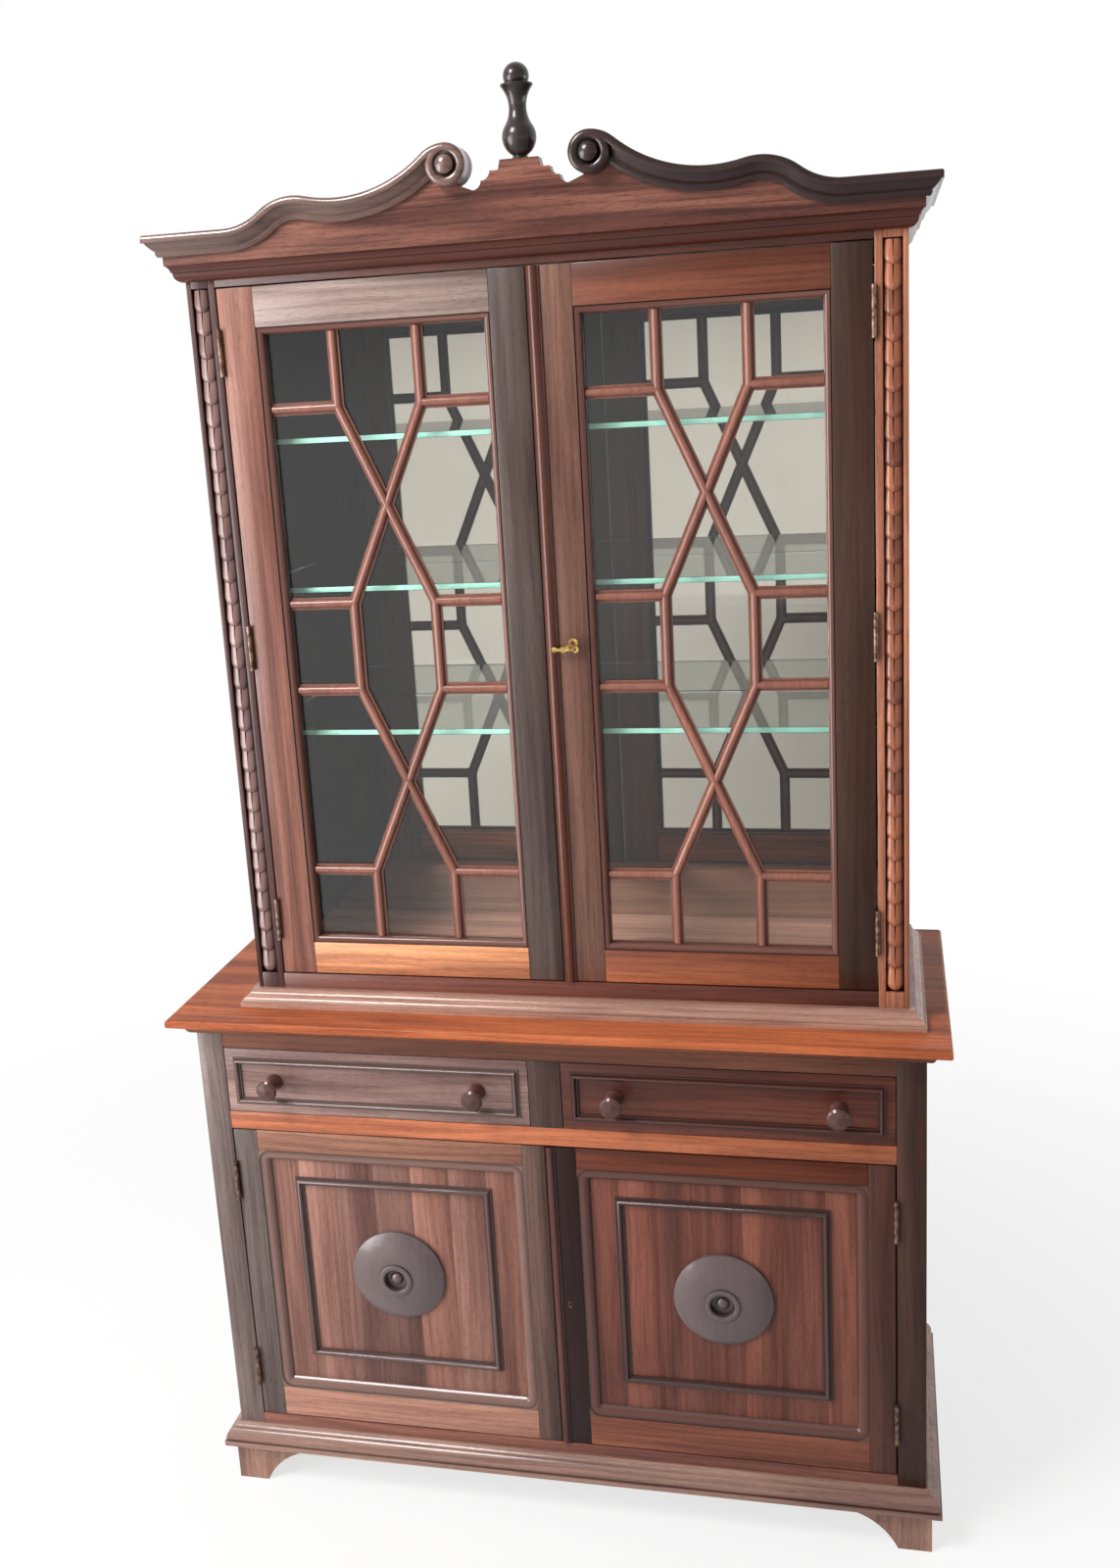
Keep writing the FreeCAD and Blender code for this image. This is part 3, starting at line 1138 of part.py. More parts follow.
for side, sign in (("left", -1), ("right", 1)):
    name = side + "_panel_door"
    inner, outer = size("lower_opening_edge"), size("panel_out")
    left, right = min(sign * inner, sign * outer), max(sign * inner, sign * outer)
    low, high = size("panel_low"), size("panel_high")
    thumb = thumb_moulding(left, right, low, high, size("front_y"))
    gather(name + "_frame", door_frame(
        side, "panel", "front_y", "open_half", "lower_opening_edge", "panel_out", "z_door",
        "panel_low", "panel_high", "z_drawer_rail", "lower_lock_rise")
        + [shape_part(name + "_thumb", thumb)])
    rail_x = "lower_opening_edge" if sign > 0 else "-1 * panel_out"
    keep(board(name + "_panel_board", rail_x, "front_y + panel_set", "panel_low",
               "panel_out - lower_opening_edge", "panel_thick", "panel_high - panel_low"),
         name + "_panel")
    centre = (left + right) / 2
    middle = (low + high) / 2 + size("square_lift")
    half = size("square_size") / 2
    bead = mitred_frame(half_round(size("square_bead"), size("square_height"),
                                   size("bead_step")),
                        centre - half, centre + half, middle - half, middle + half,
                        value_of("front_y + panel_set"))
    solid(name + "_bead_frame", Part.makeCompound(bead))
    ring_top = "-1 * boss_height"
    boss = turned(
        name + "_boss_turning", "XY_Plane",
        [("0", "0"), ("boss_radius", "0"), ("boss_radius", "-1 * boss_edge", "boss_crown", -1),
         ("boss_ring", "boss_step - boss_height"),
         ("boss_ring", ring_top + " + boss_step / 3", "boss_band", -1),
         ("boss_ring - boss_band", ring_top + " + boss_step / 3"),
         ("boss_ring - boss_band", "boss_hollow - boss_height"),
         ("boss_button", "boss_hollow - boss_height", "boss_button + boss_step", -1),
         ("0", ring_top + " + boss_step")],
        "%d * (lower_opening_edge + panel_out) / 2" % sign, "front_y + panel_set",
        "(panel_low + panel_high) / 2 + square_lift")
    keep(boss, name + "_boss")
    solid(name + "_hinge_leaves", Part.makeCompound(door_leaves[side, "panel"]))
astragal("right_panel_door_astragal", "front_y", "z_door", "z_drawer_rail", "lower_astragal",
         "astragal_height")
gather("right_panel_door_lock", [
    lock_case("lower_lock_case", MEETING["right"], "front_y", "lower_lock_rise", "z_door"),
    bolt_board("lower_bolt", MEETING["right"], "front_y", "lower_lock_rise", "z_door")])


# Pediment: a board whose top edge is a chain of tangent arcs, the crown moulding that follows it
# into a scroll, and the turned finial on its middle plinth. All of it is made from the middle of
# the board's lower front edge and then set over the lower cornice.
def crested(piece):
    """Set a piece of the pediment over the lower cornice."""
    return seat(piece, "upper_shift", "pediment_y", "z_pediment")


def neck_arcs():
    """The swan neck's top edge from its flat end to the scroll, as tangent arcs: the middle of
    each, its radius, and whether it swells up or hangs down."""
    flat = size("crown_flat")
    hump = Vector(size("hump_x"), 0, flat + size("hump_rise"))
    dip = Vector(size("dip_x"), 0, flat + size("dip_rise"))
    start = Vector(size("neck_start"), 0, flat)
    top = Vector(size("scroll_x"), 0, flat + size("scroll_rise"))

    def radii_sum(high, low):
        """Radii of two tangent arcs together, one with its top and one with its bottom here."""
        across, rise = high.x - low.x, high.z - low.z
        return (across ** 2 + rise ** 2) / (2 * rise)

    swell = size("hump_round")
    rise = radii_sum(hump, start) - swell
    hang = radii_sum(hump, dip) - swell
    last = radii_sum(top, dip) - hang
    return [(start + Vector(0, 0, rise), rise, -1), (hump - Vector(0, 0, swell), swell, 1),
            (dip + Vector(0, 0, hang), hang, -1), (top - Vector(0, 0, last), last, 1)]


def neck_joints():
    """The places where the arcs of the swan neck meet, its two ends among them."""
    arcs = neck_arcs()
    joints = [Vector(size("neck_start"), 0, size("crown_flat"))]
    for (first, radius, way), (second, other, back) in zip(arcs, arcs[1:]):
        joints.append(first + (second - first) * (radius / (radius + other)))
    joints.append(Vector(size("scroll_x"), 0, size("crown_flat") + size("scroll_rise")))
    return joints


def crown_section(place):
    """The crown moulding: a bead, a deep cove and a rounded band over it, given as a projection
    and a height over its low edge."""
    quirk, bead, neck = size("crown_quirk"), size("crown_bead"), size("crown_neck")
    top, reach = size("crown_height"), size("crown_reach")
    band = top - size("crown_band")
    bend = (neck - bead) * math.sqrt(0.5)
    return section([(0, 0), (bead - quirk, 0), (bead, bead / 2), (bead, bead),
                    (neck, band, neck - bend, bead + bend / 3), (reach, band),
                    (reach - quirk, top, reach + quirk / 2, (band + top) / 2), (0, top)], place)


def swan_neck():
    """The right-hand crown: the end return, the flat start, the arcs and the scroll."""
    side, back = size("pediment_half"), size("crown_depth")
    low, reach, top = size("frieze_height"), size("crown_reach"), size("crown_flat")
    end = crown_section(lambda s, t: Vector(side + s, -reach, low + t))
    end = end.extrude(Vector(0, back + reach, 0))
    start = crown_section(lambda s, t: Vector(size("neck_start"), -s, low + t))
    flat = start.extrude(Vector(side + reach - size("neck_start"), 0, 0))
    corners = [Vector(side, 0, low - reach), Vector(side + reach, -reach, low - reach),
               Vector(side + reach, back + reach, low - reach),
               Vector(side, back + reach, low - reach)]
    mitre = Part.Face(Part.makePolygon(corners + corners[:1]))
    mitre = mitre.extrude(Vector(0, 0, top - low + 2 * reach))
    pieces = [flat.cut(mitre)]
    joints = neck_joints()
    for (middle, radius, way), first, last in zip(neck_arcs(), joints, joints[1:]):
        outward = (first - middle) * (way / radius)
        angle = math.degrees((first - middle).getAngle(last - middle))
        profile = crown_section(lambda s, t: first - Vector(0, s, 0)
                                + outward * (t - size("crown_height")))
        pieces.append(profile.revolve(middle, Vector(0, 1, 0), -way * angle))
    return pieces, end.common(mitre)


def scroll():
    """The turned end of the crown: its band, a hollow and the button in the middle."""
    x, radius = size("scroll_x"), size("scroll_round")
    z = size("crown_flat") + size("scroll_rise") - radius
    reach, quirk = size("crown_reach"), size("crown_quirk")
    button, top = size("scroll_button"), reach + size("button_reach")
    rise = size("button_reach") - quirk
    dome = (button ** 2 + rise ** 2) / (2 * rise)
    swell = top - dome + math.sqrt(dome ** 2 - (button / 2) ** 2)
    band = radius - size("crown_band")
    neck = size("crown_neck")
    profile = section([(0, 0), (0, radius), (reach - quirk, radius),
                       (reach, band, reach + quirk / 2, (band + radius) / 2), (neck, band),
                       (neck - quirk, button), (reach + quirk, button), (top, 0, swell, button / 2)],
                      lambda s, t: Vector(x - t, -s, z))
    return profile.revolve(Vector(x, 0, z), Vector(0, 1, 0), 360)


def bulge(start, end, radius):
    """The arc from start to end that swells to the left of its run."""
    chord = end - start
    normal = Vector(chord.z, 0, -chord.x)
    normal.normalize()
    height = radius - math.sqrt(radius ** 2 - (chord.Length / 2) ** 2)
    return Part.Arc(start, (start + end) * 0.5 - normal * height, end).toShape()


def pediment_board():
    """The board behind the crown, cut to its curve, round the scrolls and to the plinth."""
    side = size("pediment_half")
    joints = neck_joints()
    corners = [Vector(0, 0, 0), Vector(side, 0, 0), Vector(side, 0, size("crown_flat")), joints[0]]
    edges = [Part.LineSegment(*pair).toShape() for pair in zip(corners, corners[1:])]
    for (middle, radius, way), first, last in zip(neck_arcs(), joints, joints[1:]):
        half_way = (first - middle) + (last - middle)
        half_way.normalize()
        edges.append(Part.Arc(first, middle + half_way * radius, last).toShape())
    radius = size("scroll_round")
    centre = joints[-1] - Vector(0, 0, radius)
    beside = size("scroll_x") - size("scroll_meet")
    meet = centre - Vector(beside, 0, math.sqrt(radius ** 2 - beside ** 2))
    edges.append(Part.Arc(joints[-1], centre - Vector(radius, 0, 0), meet).toShape())
    top = size("plinth_rise")
    ledge = top - size("plinth_neck")
    shelf = ledge - size("plinth_drop")
    notch = Vector(size("notch_x"), 0, shelf - size("plinth_drop"))
    shoulder = Vector(size("plinth_shoulder"), 0, shelf)
    step = shoulder + Vector(size("plinth_shelf"), 0, 0)
    edges += [Part.LineSegment(meet, notch).toShape(), bulge(notch, step, size("plinth_bend")),
              Part.LineSegment(step, shoulder).toShape(),
              bulge(shoulder, Vector(size("plinth_ledge"), 0, ledge), size("plinth_bend"))]
    corners = [Vector(size("plinth_ledge"), 0, ledge),
               Vector(size("plinth_top") + size("plinth_shelf"), 0, ledge),
               Vector(size("plinth_top"), 0, top), Vector(0, 0, top), Vector(0, 0, 0)]
    edges += [Part.LineSegment(*pair).toShape() for pair in zip(corners, corners[1:])]
    half = Part.Face(Part.Wire(edges)).extrude(Vector(0, size("pediment_thick"), 0))
    whole = half.fuse(half.mirror(Vector(0, 0, 0), Vector(1, 0, 0)))
    return whole.removeSplitter()


pediment_return = board("pediment_return", "pediment_half - pediment_thick", "pediment_thick", "0",
                        "pediment_thick", "crown_depth - pediment_thick", "crown_flat")
crested(gather("pediment_board", [shape_part("pediment_front", [pediment_board()]),
                                  pediment_return,
                                  mirrored("pediment_return_left", pediment_return)]))
neck_pieces, end_length = swan_neck()
front_neck = neck_pieces[0].fuse(neck_pieces[1:] + [scroll()]).removeSplitter()
for side, plane in (("right", None), ("left", Vector(1, 0, 0))):
    shapes = [front_neck, end_length]
    if plane:
        shapes = [shape.mirror(Vector(0, 0, 0), plane) for shape in shapes]
    crested(solid(side + "_swan_neck", Part.makeCompound(shapes)))
finial = turned(
    "finial_turning", "XZ_Plane",
    [("0", "0"), ("finial_foot", "0"), ("finial_stem", "finial_step", "bulb_round", 1),
     ("bulb_top", "bulb_height", "neck_hollow", -1), ("lip_round", "lip_height"),
     ("lip_round", "lip_height + finial_step / 2"), ("dome_round", "lip_height + finial_step",
      "(dome_round ^ 2 + (finial_height - lip_height - finial_step) ^ 2)"
      " / (2 * (finial_height - lip_height - finial_step))", 1),
     ("0", "finial_height")],
    "upper_shift", "pediment_y + pediment_thick / 2", "z_pediment + plinth_rise")
keep(finial, "finial")


# Every feature has to be sound before anything is written.
doc.recompute()
faults = [item.Name for item in doc.Objects if "Invalid" in item.State or "Error" in item.State]
faults += [item.Label for item in NODES if item.Shape.isNull() or not item.Shape.isValid()]
if faults:
    raise RuntimeError("unsound: " + ", ".join(faults))
os.makedirs("parts", exist_ok=True)
for item in NODES:
    item.Shape.exportStep("parts/%s.step" % item.Label)
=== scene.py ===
import math
import random

import bmesh
import bpy
from mathutils import Matrix, Vector


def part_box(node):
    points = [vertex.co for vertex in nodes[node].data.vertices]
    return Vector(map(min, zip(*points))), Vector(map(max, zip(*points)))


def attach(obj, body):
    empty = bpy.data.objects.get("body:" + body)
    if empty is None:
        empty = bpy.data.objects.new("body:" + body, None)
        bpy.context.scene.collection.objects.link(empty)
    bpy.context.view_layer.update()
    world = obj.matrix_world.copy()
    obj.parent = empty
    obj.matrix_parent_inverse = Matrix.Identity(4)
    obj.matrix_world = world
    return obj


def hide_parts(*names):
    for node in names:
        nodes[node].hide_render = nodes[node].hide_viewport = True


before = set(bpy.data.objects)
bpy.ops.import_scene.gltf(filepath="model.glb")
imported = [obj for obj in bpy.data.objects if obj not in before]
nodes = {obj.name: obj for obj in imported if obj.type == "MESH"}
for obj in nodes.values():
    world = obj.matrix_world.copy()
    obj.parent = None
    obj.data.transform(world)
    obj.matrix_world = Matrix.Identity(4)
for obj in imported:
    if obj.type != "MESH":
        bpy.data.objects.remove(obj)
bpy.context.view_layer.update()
scene = bpy.context.scene

# Camera: stands to the right of the cabinet, a little below the cornice, and looks down and to
# the left with a slight tilt, so that the uprights lean and close in towards the feet.
yaw, pitch, roll = (math.radians(angle) for angle in (13.1068, -13.2127, -3.3445))
forward = Vector((-math.sin(yaw) * math.cos(pitch), math.cos(yaw) * math.cos(pitch),
                  math.sin(pitch)))
level = forward.cross(Vector((0, 0, 1))).normalized()
upright = level.cross(forward)
beside = math.cos(roll) * level + math.sin(roll) * upright
above = math.cos(roll) * upright - math.sin(roll) * level
picture_width, picture_height = 1143, 1600
axis_x, axis_y, focal_length = 549.09, 746.75, 1550.63
lens = bpy.data.cameras.new("camera")
lens.sensor_width = 36
lens.lens = focal_length * lens.sensor_width / picture_height
lens.shift_x = (picture_width / 2 - axis_x) / picture_height
lens.shift_y = (axis_y - picture_height / 2) / picture_height
camera = bpy.data.objects.new("camera", lens)
camera.matrix_world = Matrix.Translation((0.474, -2.1343, 1.6974)) @ Matrix(
    (beside, above, -forward)).transposed().to_4x4()
scene.collection.objects.link(camera)
scene.camera = camera

# Base carcass: sawn rosewood boards, each cut from another plank, so that every board has its own
# figure and depth of colour. They are glued up round the drawers and the cupboard, eased at the
# edges and finished with a hand-rubbed polish.
def hue(red, green, blue):
    """A colour as seen on the wood, as linear values."""
    return tuple(((part / 255 + 0.055) / 1.055) ** 2.4 for part in (red, green, blue)) + (1,)


def blank(name):
    """A new material, its node tree and its shader."""
    finish = bpy.data.materials.new(name)
    finish.use_nodes = True
    return finish, finish.node_tree, finish.node_tree.nodes["Principled BSDF"]


def feed(tree, value, socket):
    """Give a socket its value, or a link where the value is another node's output."""
    if hasattr(value, "is_output"):
        tree.links.new(value, socket)
    else:
        socket.default_value = value


def counted(tree, operation, first, second):
    """The result of one sum on two values."""
    made = tree.nodes.new("ShaderNodeMath")
    made.operation = operation
    feed(tree, first, made.inputs[0])
    feed(tree, second, made.inputs[1])
    return made.outputs[0]


def ranged(tree, source, low, high, first=0.0, last=1.0):
    """A value that runs from first to last while its source runs from low to high."""
    made = tree.nodes.new("ShaderNodeMapRange")
    for socket, value in (("Value", source), ("From Min", low), ("From Max", high),
                          ("To Min", first), ("To Max", last)):
        feed(tree, value, made.inputs[socket])
    return made.outputs["Result"]


def mixed(tree, mode, amount, first, second):
    """Two colours blended by an amount."""
    made = tree.nodes.new("ShaderNodeMix")
    made.data_type, made.blend_type = "RGBA", mode
    feed(tree, amount, made.inputs["Factor"])
    feed(tree, first, made.inputs[6])
    feed(tree, second, made.inputs[7])
    return made.outputs[2]


def figure_group():
    """Rosewood figure: broad dark bands, fine streaks and short pores along the grain."""
    group = bpy.data.node_groups.new("rosewood_figure", "ShaderNodeTree")
    for name, kind, way in (("Grain", "NodeSocketVector", "INPUT"),
                            ("Tone", "NodeSocketColor", "INPUT"),
                            ("Bands", "NodeSocketFloat", "INPUT"),
                            ("Streaks", "NodeSocketFloat", "INPUT"),
                            ("Color", "NodeSocketColor", "OUTPUT"),
                            ("Roughness", "NodeSocketFloat", "OUTPUT"),
                            ("Height", "NodeSocketFloat", "OUTPUT")):
        group.interface.new_socket(name=name, in_out=way, socket_type=kind)
    new, link = group.nodes.new, group.links.new
    entry, leave = new("NodeGroupInput"), new("NodeGroupOutput")
    grain, tone, share = (entry.outputs[name] for name in ("Grain", "Tone", "Streaks"))

    def noise(stretch, detail, distortion, source):
        scaled = new("ShaderNodeVectorMath")
        scaled.operation = "MULTIPLY"
        scaled.inputs[1].default_value = stretch
        link(source, scaled.inputs[0])
        made = new("ShaderNodeTexNoise")
        made.inputs["Scale"].default_value = 1
        made.inputs["Detail"].default_value = detail
        made.inputs["Distortion"].default_value = distortion
        link(scaled.outputs[0], made.inputs["Vector"])
        return made.outputs["Fac"]

    push = new("ShaderNodeVectorMath")
    push.operation = "MULTIPLY_ADD"
    push.inputs[1].default_value = (0, 0.02, 0.02)
    link(noise((2.5, 9, 9), 1, 0, grain), push.inputs[0])
    link(grain, push.inputs[2])
    bands = noise((1.2, 22, 22), 3, 0.6, push.outputs[0])
    streaks = noise((5, 190, 190), 3, 0.3, push.outputs[0])
    pores = noise((70, 1700, 1700), 2, 0, push.outputs[0])
    clouds = noise((3, 7, 7), 2, 0, grain)
    streaked = counted(group, "MULTIPLY", ranged(group, streaks, 0.36, 0.58, 0.46, 0.0), share)
    pored = counted(group, "MULTIPLY", ranged(group, pores, 0.35, 0.47, 0.45, 0.0), share)
    clouded = ranged(group, clouds, 0.35, 0.65, 0.45, 0.0)
    base = mixed(group, "MIX", ranged(group, bands, 0.36, 0.60),
                 mixed(group, "MULTIPLY", entry.outputs["Bands"], tone, (0.38, 0.30, 0.31, 1)),
                 tone)
    for amount, stain_colour in ((streaked, (0.34, 0.27, 0.28, 1)), (pored, (0.25, 0.2, 0.2, 1)),
                                 (clouded, (0.55, 0.48, 0.52, 1))):
        base = mixed(group, "MULTIPLY", amount, base, stain_colour)
    link(base, leave.inputs["Color"])
    link(counted(group, "ADD", ranged(group, pores, 0.36, 0.47, 0.16, 0.0),
                 ranged(group, clouds, 0.3, 0.7, 0.27, 0.40)), leave.inputs["Roughness"])
    link(counted(group, "ADD", ranged(group, pores, 0.36, 0.47, 0.0, 0.6),
                 ranged(group, streaks, 0.3, 0.7, 0.0, 0.4)), leave.inputs["Height"])
    return group


figure = figure_group()
TURN = {"x": (0, 0, 0), "y": (0, 0, -math.pi / 2), "z": (0, math.pi / 2, 0)}


def rosewood(name, tone=None, along="x", bands=0.75, coat=0.2, gloss=0.25, streaks=1.0):
    """Polished rosewood, darkened in quirks and recesses by ambient occlusion: painted shade, with
    old polish gathered there too. Without a tone, the boards carry their own tone and grain."""
    finish, tree, shader = blank(name)
    shader.inputs["Coat Weight"].default_value = coat
    shader.inputs["Coat Roughness"].default_value = 0.14
    shader.inputs["Specular IOR Level"].default_value = gloss
    wood = tree.nodes.new("ShaderNodeGroup")
    wood.node_tree = figure
    wood.inputs["Bands"].default_value = bands
    wood.inputs["Streaks"].default_value = streaks
    if tone:
        place = tree.nodes.new("ShaderNodeTexCoord")
        turn = tree.nodes.new("ShaderNodeMapping")
        turn.inputs["Rotation"].default_value = TURN[along]
        turn.inputs["Location"].default_value = (len(bpy.data.materials) * 0.37, 0, 0)
        tree.links.new(place.outputs["Object"], turn.inputs["Vector"])
        tree.links.new(turn.outputs["Vector"], wood.inputs["Grain"])
        wood.inputs["Tone"].default_value = tone
    else:
        for layer, output in (("grain", "Vector"), ("tone", "Color")):
            read = tree.nodes.new("ShaderNodeAttribute")
            read.attribute_name = layer
            tree.links.new(read.outputs[output], wood.inputs[layer.title()])
    # Ambient occlusion darkens the colour in quirks, corners and recesses: painted shade, with old
    # polish gathered there too.
    shelter = tree.nodes.new("ShaderNodeAmbientOcclusion")
    shelter.samples = 6
    shelter.only_local = True
    shelter.inputs["Distance"].default_value = 0.012
    crevice_shade_and_polish = mixed(tree, "MULTIPLY", ranged(tree, shelter.outputs["AO"], 0.35, 0.95, 1.0, 0.0),
                   wood.outputs["Color"], (0.20, 0.15, 0.14, 1))
    bump = tree.nodes.new("ShaderNodeBump")
    bump.inputs["Strength"].default_value = 0.12
    bump.inputs["Distance"].default_value = 0.0006
    tree.links.new(crevice_shade_and_polish, shader.inputs["Base Color"])
    tree.links.new(wood.outputs["Roughness"], shader.inputs["Roughness"])
    tree.links.new(wood.outputs["Height"], bump.inputs["Height"])
    tree.links.new(bump.outputs["Normal"], shader.inputs["Normal"])
    return finish


def dress(node, finish):
    """Give a node of the frame its finish."""
    slots = nodes[node].data.materials
    slots.clear()
    slots.append(finish)


cuts = random.Random(7)


def workbench():
    """An empty mesh whose points can carry a tone and a grain."""
    work = bmesh.new()
    work.verts.layers.float_color.new("tone")
    work.verts.layers.float_vector.new("grain")
    return work


def stain(work, known, along, tone):
    """Give every point made since known its tone, and grain that runs along an axis."""
    tones, grains = work.verts.layers.float_color["tone"], work.verts.layers.float_vector["grain"]
    shift = Vector([cuts.uniform(-9, 9) for _ in range(3)])
    lead = "xyz".index(along)
    for point in work.verts:
        if point not in known:
            place = point.co
            point[tones] = tone
            point[grains] = shift + Vector((place[lead], place[lead - 1], place[lead - 2]))


def plank(work, low, high, along, tone, ease=0.0009):
    """A board between two corners, with eased edges."""
    known = set(work.verts)
    low, high = Vector(low), Vector(high)
    made = bmesh.ops.create_cube(work, size=1)["verts"]
    bmesh.ops.scale(work, vec=high - low, verts=made)
    bmesh.ops.translate(work, vec=(low + high) / 2, verts=made)
    edges = list(dict.fromkeys(edge for point in made for edge in point.link_edges))
    bmesh.ops.bevel(work, geom=edges, offset=ease, segments=2, profile=0.5, affect="EDGES",
                    material=-1)
    stain(work, known, along, hue(*tone))


def joined(work, name, body, finish, slot, *stands_for):
    """Turn the work into a piece of the cabinet that rides on its body."""
    mesh = bpy.data.meshes.new(name)
    bmesh.ops.recalc_face_normals(work, faces=work.faces)
    work.to_mesh(mesh)
    work.free()
    mesh.shade_smooth()
    mesh.set_sharp_from_angle(angle=math.radians(32))
    mesh.materials.append(finish)
    piece = bpy.data.objects.new(name, mesh)
    scene.collection.objects.link(piece)
    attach(piece, body)
    if stands_for:
        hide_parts(*stands_for)


boards = rosewood("rosewood_boards")
front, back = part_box("base_front_stiles")[0].y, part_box("base_back")[1].y
stile_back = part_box("base_front_stiles")[1].y
side_thickness, side_ease, front_joint, rear_joint = 0.018, 0.0004, -0.03, 0.11
low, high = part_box("base_sides")
work = workbench()
for left in (low.x, high.x - side_thickness):
    for start, end, tone in ((stile_back, front_joint, (112, 72, 60)),
                             (front_joint, rear_joint, (128, 78, 62)),
                             (rear_joint, back, (104, 68, 58))):
        plank(work, (left, start, low.z), (left + side_thickness, end, high.z), "z", tone,
              side_ease)
joined(work, "base_side_boards", "case", boards, "rosewood", "base_sides")
stile_width = 0.04
low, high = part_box("base_front_stiles")
work = workbench()
# The left stile's pale grey tone is partly painted sheen from the lights at the left.
plank(work, low, (low.x + stile_width, high.y, high.z), "z", (133, 117, 110))
plank(work, (high.x - stile_width, low.y, low.z), high, "z", (78, 50, 39))
joined(work, "base_stile_boards", "case", boards, "rosewood", "base_front_stiles")
for node, along, tone in (("base_top_rail", "x", (129, 79, 57)),
                          ("drawer_muntin", "z", (99, 75, 66)),
                          ("drawer_rail", "x", (194, 114, 76)),
                          ("base_bottom_rail", "x", (140, 90, 75))):
    work = workbench()
    plank(work, *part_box(node), along, tone)
    joined(work, node + "_board", "case", boards, "rosewood", node)
inner = rosewood("inner_boards_wood", hue(96, 62, 44), "x", bands=0.5, coat=0.0)
inner_upright = rosewood("inner_upright_wood", hue(88, 56, 42), "z", bands=0.5, coat=0.0)
inner_depth = rosewood("inner_depth_wood", hue(96, 64, 46), "y", bands=0.5, coat=0.0)
dress("base_back", inner_upright)
dress("base_boards", inner)
dress("drawer_guides", inner_depth)

# Base top: three wide rosewood boards glued edge to edge, with a rounded nosing, over a cove
# moulding that is mitred round the front and ends.
dress("base_top", rosewood("base_top_wood", hue(203, 114, 72), "x", bands=0.8, coat=0.06,
                           gloss=0.1))
dress("base_top_cove",
      rosewood("base_top_cove_wood", hue(131, 70, 40), "x", bands=0.7, coat=0.3))

# Plinth and feet: a moulding mitred round the foot of the base, and sawn bracket feet under it,
# with the grain upright at the front and a paler tone that is partly painted sheen.
dress("plinth_moulding",
      rosewood("plinth_wood", hue(169, 133, 117), "x", bands=0.6, coat=0.6))
dress("bracket_feet", rosewood("bracket_foot_wood", hue(170, 131, 115), "z", bands=0.6))

# Drawers: a rosewood front with a mitred bead round a bare edge, a paler box lapped behind it, and
# two turned knobs that are glued into the front.
def rectangle(work, left, right, low, high, y, rounding=0.0, steps=6):
    """A closed loop of edges round an upright rectangle, with rounded corners if asked."""
    points = []
    for x, z, turn in ((right, high, 0), (left, high, 1), (left, low, 2), (right, low, 3)):
        if rounding:
            mid_x = x - rounding if x == right else x + rounding
            mid_z = z - rounding if z == high else z + rounding
            angles = [(turn + step / steps) * math.pi / 2 for step in range(steps + 1)]
            points += [(mid_x + rounding * math.cos(angle), mid_z + rounding * math.sin(angle))
                       for angle in angles]
        else:
            points.append((x, z))
    ring = [work.verts.new((x, y, z)) for x, z in points]
    return [work.edges.new(pair) for pair in zip(ring, ring[1:] + ring[:1])]


def picture_frame(work, left, right, low, high, y, profile, tone, rounding=None):
    """A moulding mitred round a rectangle. The profile gives a distance inwards and a projection
    towards the front at each edge, and the share of tone kept there, which paints shade in quirks."""
    known, shade, loops = set(work.verts), hue(*tone), []
    for inward, _, _ in profile:
        # The first loop keeps square corners, as it meets the frame's bare opening.
        corner = max((rounding if loops else 0) - inward, 0.0002) if rounding else 0
        # The loops are first set a metre apart, so that no bridge between them can twist.
        loops.append(rectangle(work, left + inward, right - inward, low + inward, high - inward,
                               y - len(loops), corner))
    for first, second in zip(loops, loops[1:]):
        bmesh.ops.bridge_loops(work, edges=first + second)
    stain(work, known, "x", shade)
    tones = work.verts.layers.float_color["tone"]
    for loop, (_, proud, share) in zip(loops, profile):
        for point in {point for edge in loop for point in edge.verts}:
            point.co.y = y - proud
            point[tones] = (*(part * share for part in shade[:3]), 1)


def arched(start, end, swell, quirk_shade=0.5, steps=8):
    """Points of an arc between two profile points that swells to the left of its run. Its ends
    keep part of the tone: painted shade in the quirks, where old polish gathers too."""
    run = Vector(end) - Vector(start)
    normal = Vector((-run.y, run.x)).normalized()
    return [(*(Vector(start) + run * (step / steps)
               + normal * swell * math.sin(math.pi * step / steps)),
             quirk_shade + (1 - quirk_shade) * min(1, 1.6 * math.sin(math.pi * step / steps)))
            for step in range(steps + 1)]


def beaded(width, swell, fillet=0.002, sunk=-0.001):
    """The profile of a bead: a half round that stands between two square fillets."""
    # The sunk edges keep half the tone: painted shade in the quirks.
    return ([(0, sunk, 0.5), (0, fillet, 0.9)]
            + arched((fillet, fillet), (width - fillet, fillet), swell)
            + [(width, fillet, 0.9), (width, sunk, 0.5)])


knob_wood = rosewood("turned_knob_wood", hue(92, 58, 51), "y", bands=0.4, coat=0.6)
moulding_wood = rosewood("polished_moulding_wood", coat=0.7, streaks=0.5)
bare_edge, bead_share = 0.0135, 0.8
for side, tone in (("left", (163, 132, 123)), ("right", (110, 59, 44))):
    low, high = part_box(side + "_drawer_front")
    low.y = front
    work = workbench()
    plank(work, low, high, "x", tone)
    joined(work, side + "_drawer_face", side + "_drawer", boards, "rosewood",
           side + "_drawer_front")
    work = workbench()
    picture_frame(work, low.x + bare_edge, high.x - bare_edge, low.z + bare_edge,
                  high.z - bare_edge, front, beaded(0.011, 0.005),
                  [part * bead_share for part in tone])
    joined(work, side + "_drawer_bead", side + "_drawer", moulding_wood, "dark_rosewood",
           side + "_drawer_front")
    dress(side + "_drawer_box", inner)
    dress(side + "_drawer_knobs", knob_wood)

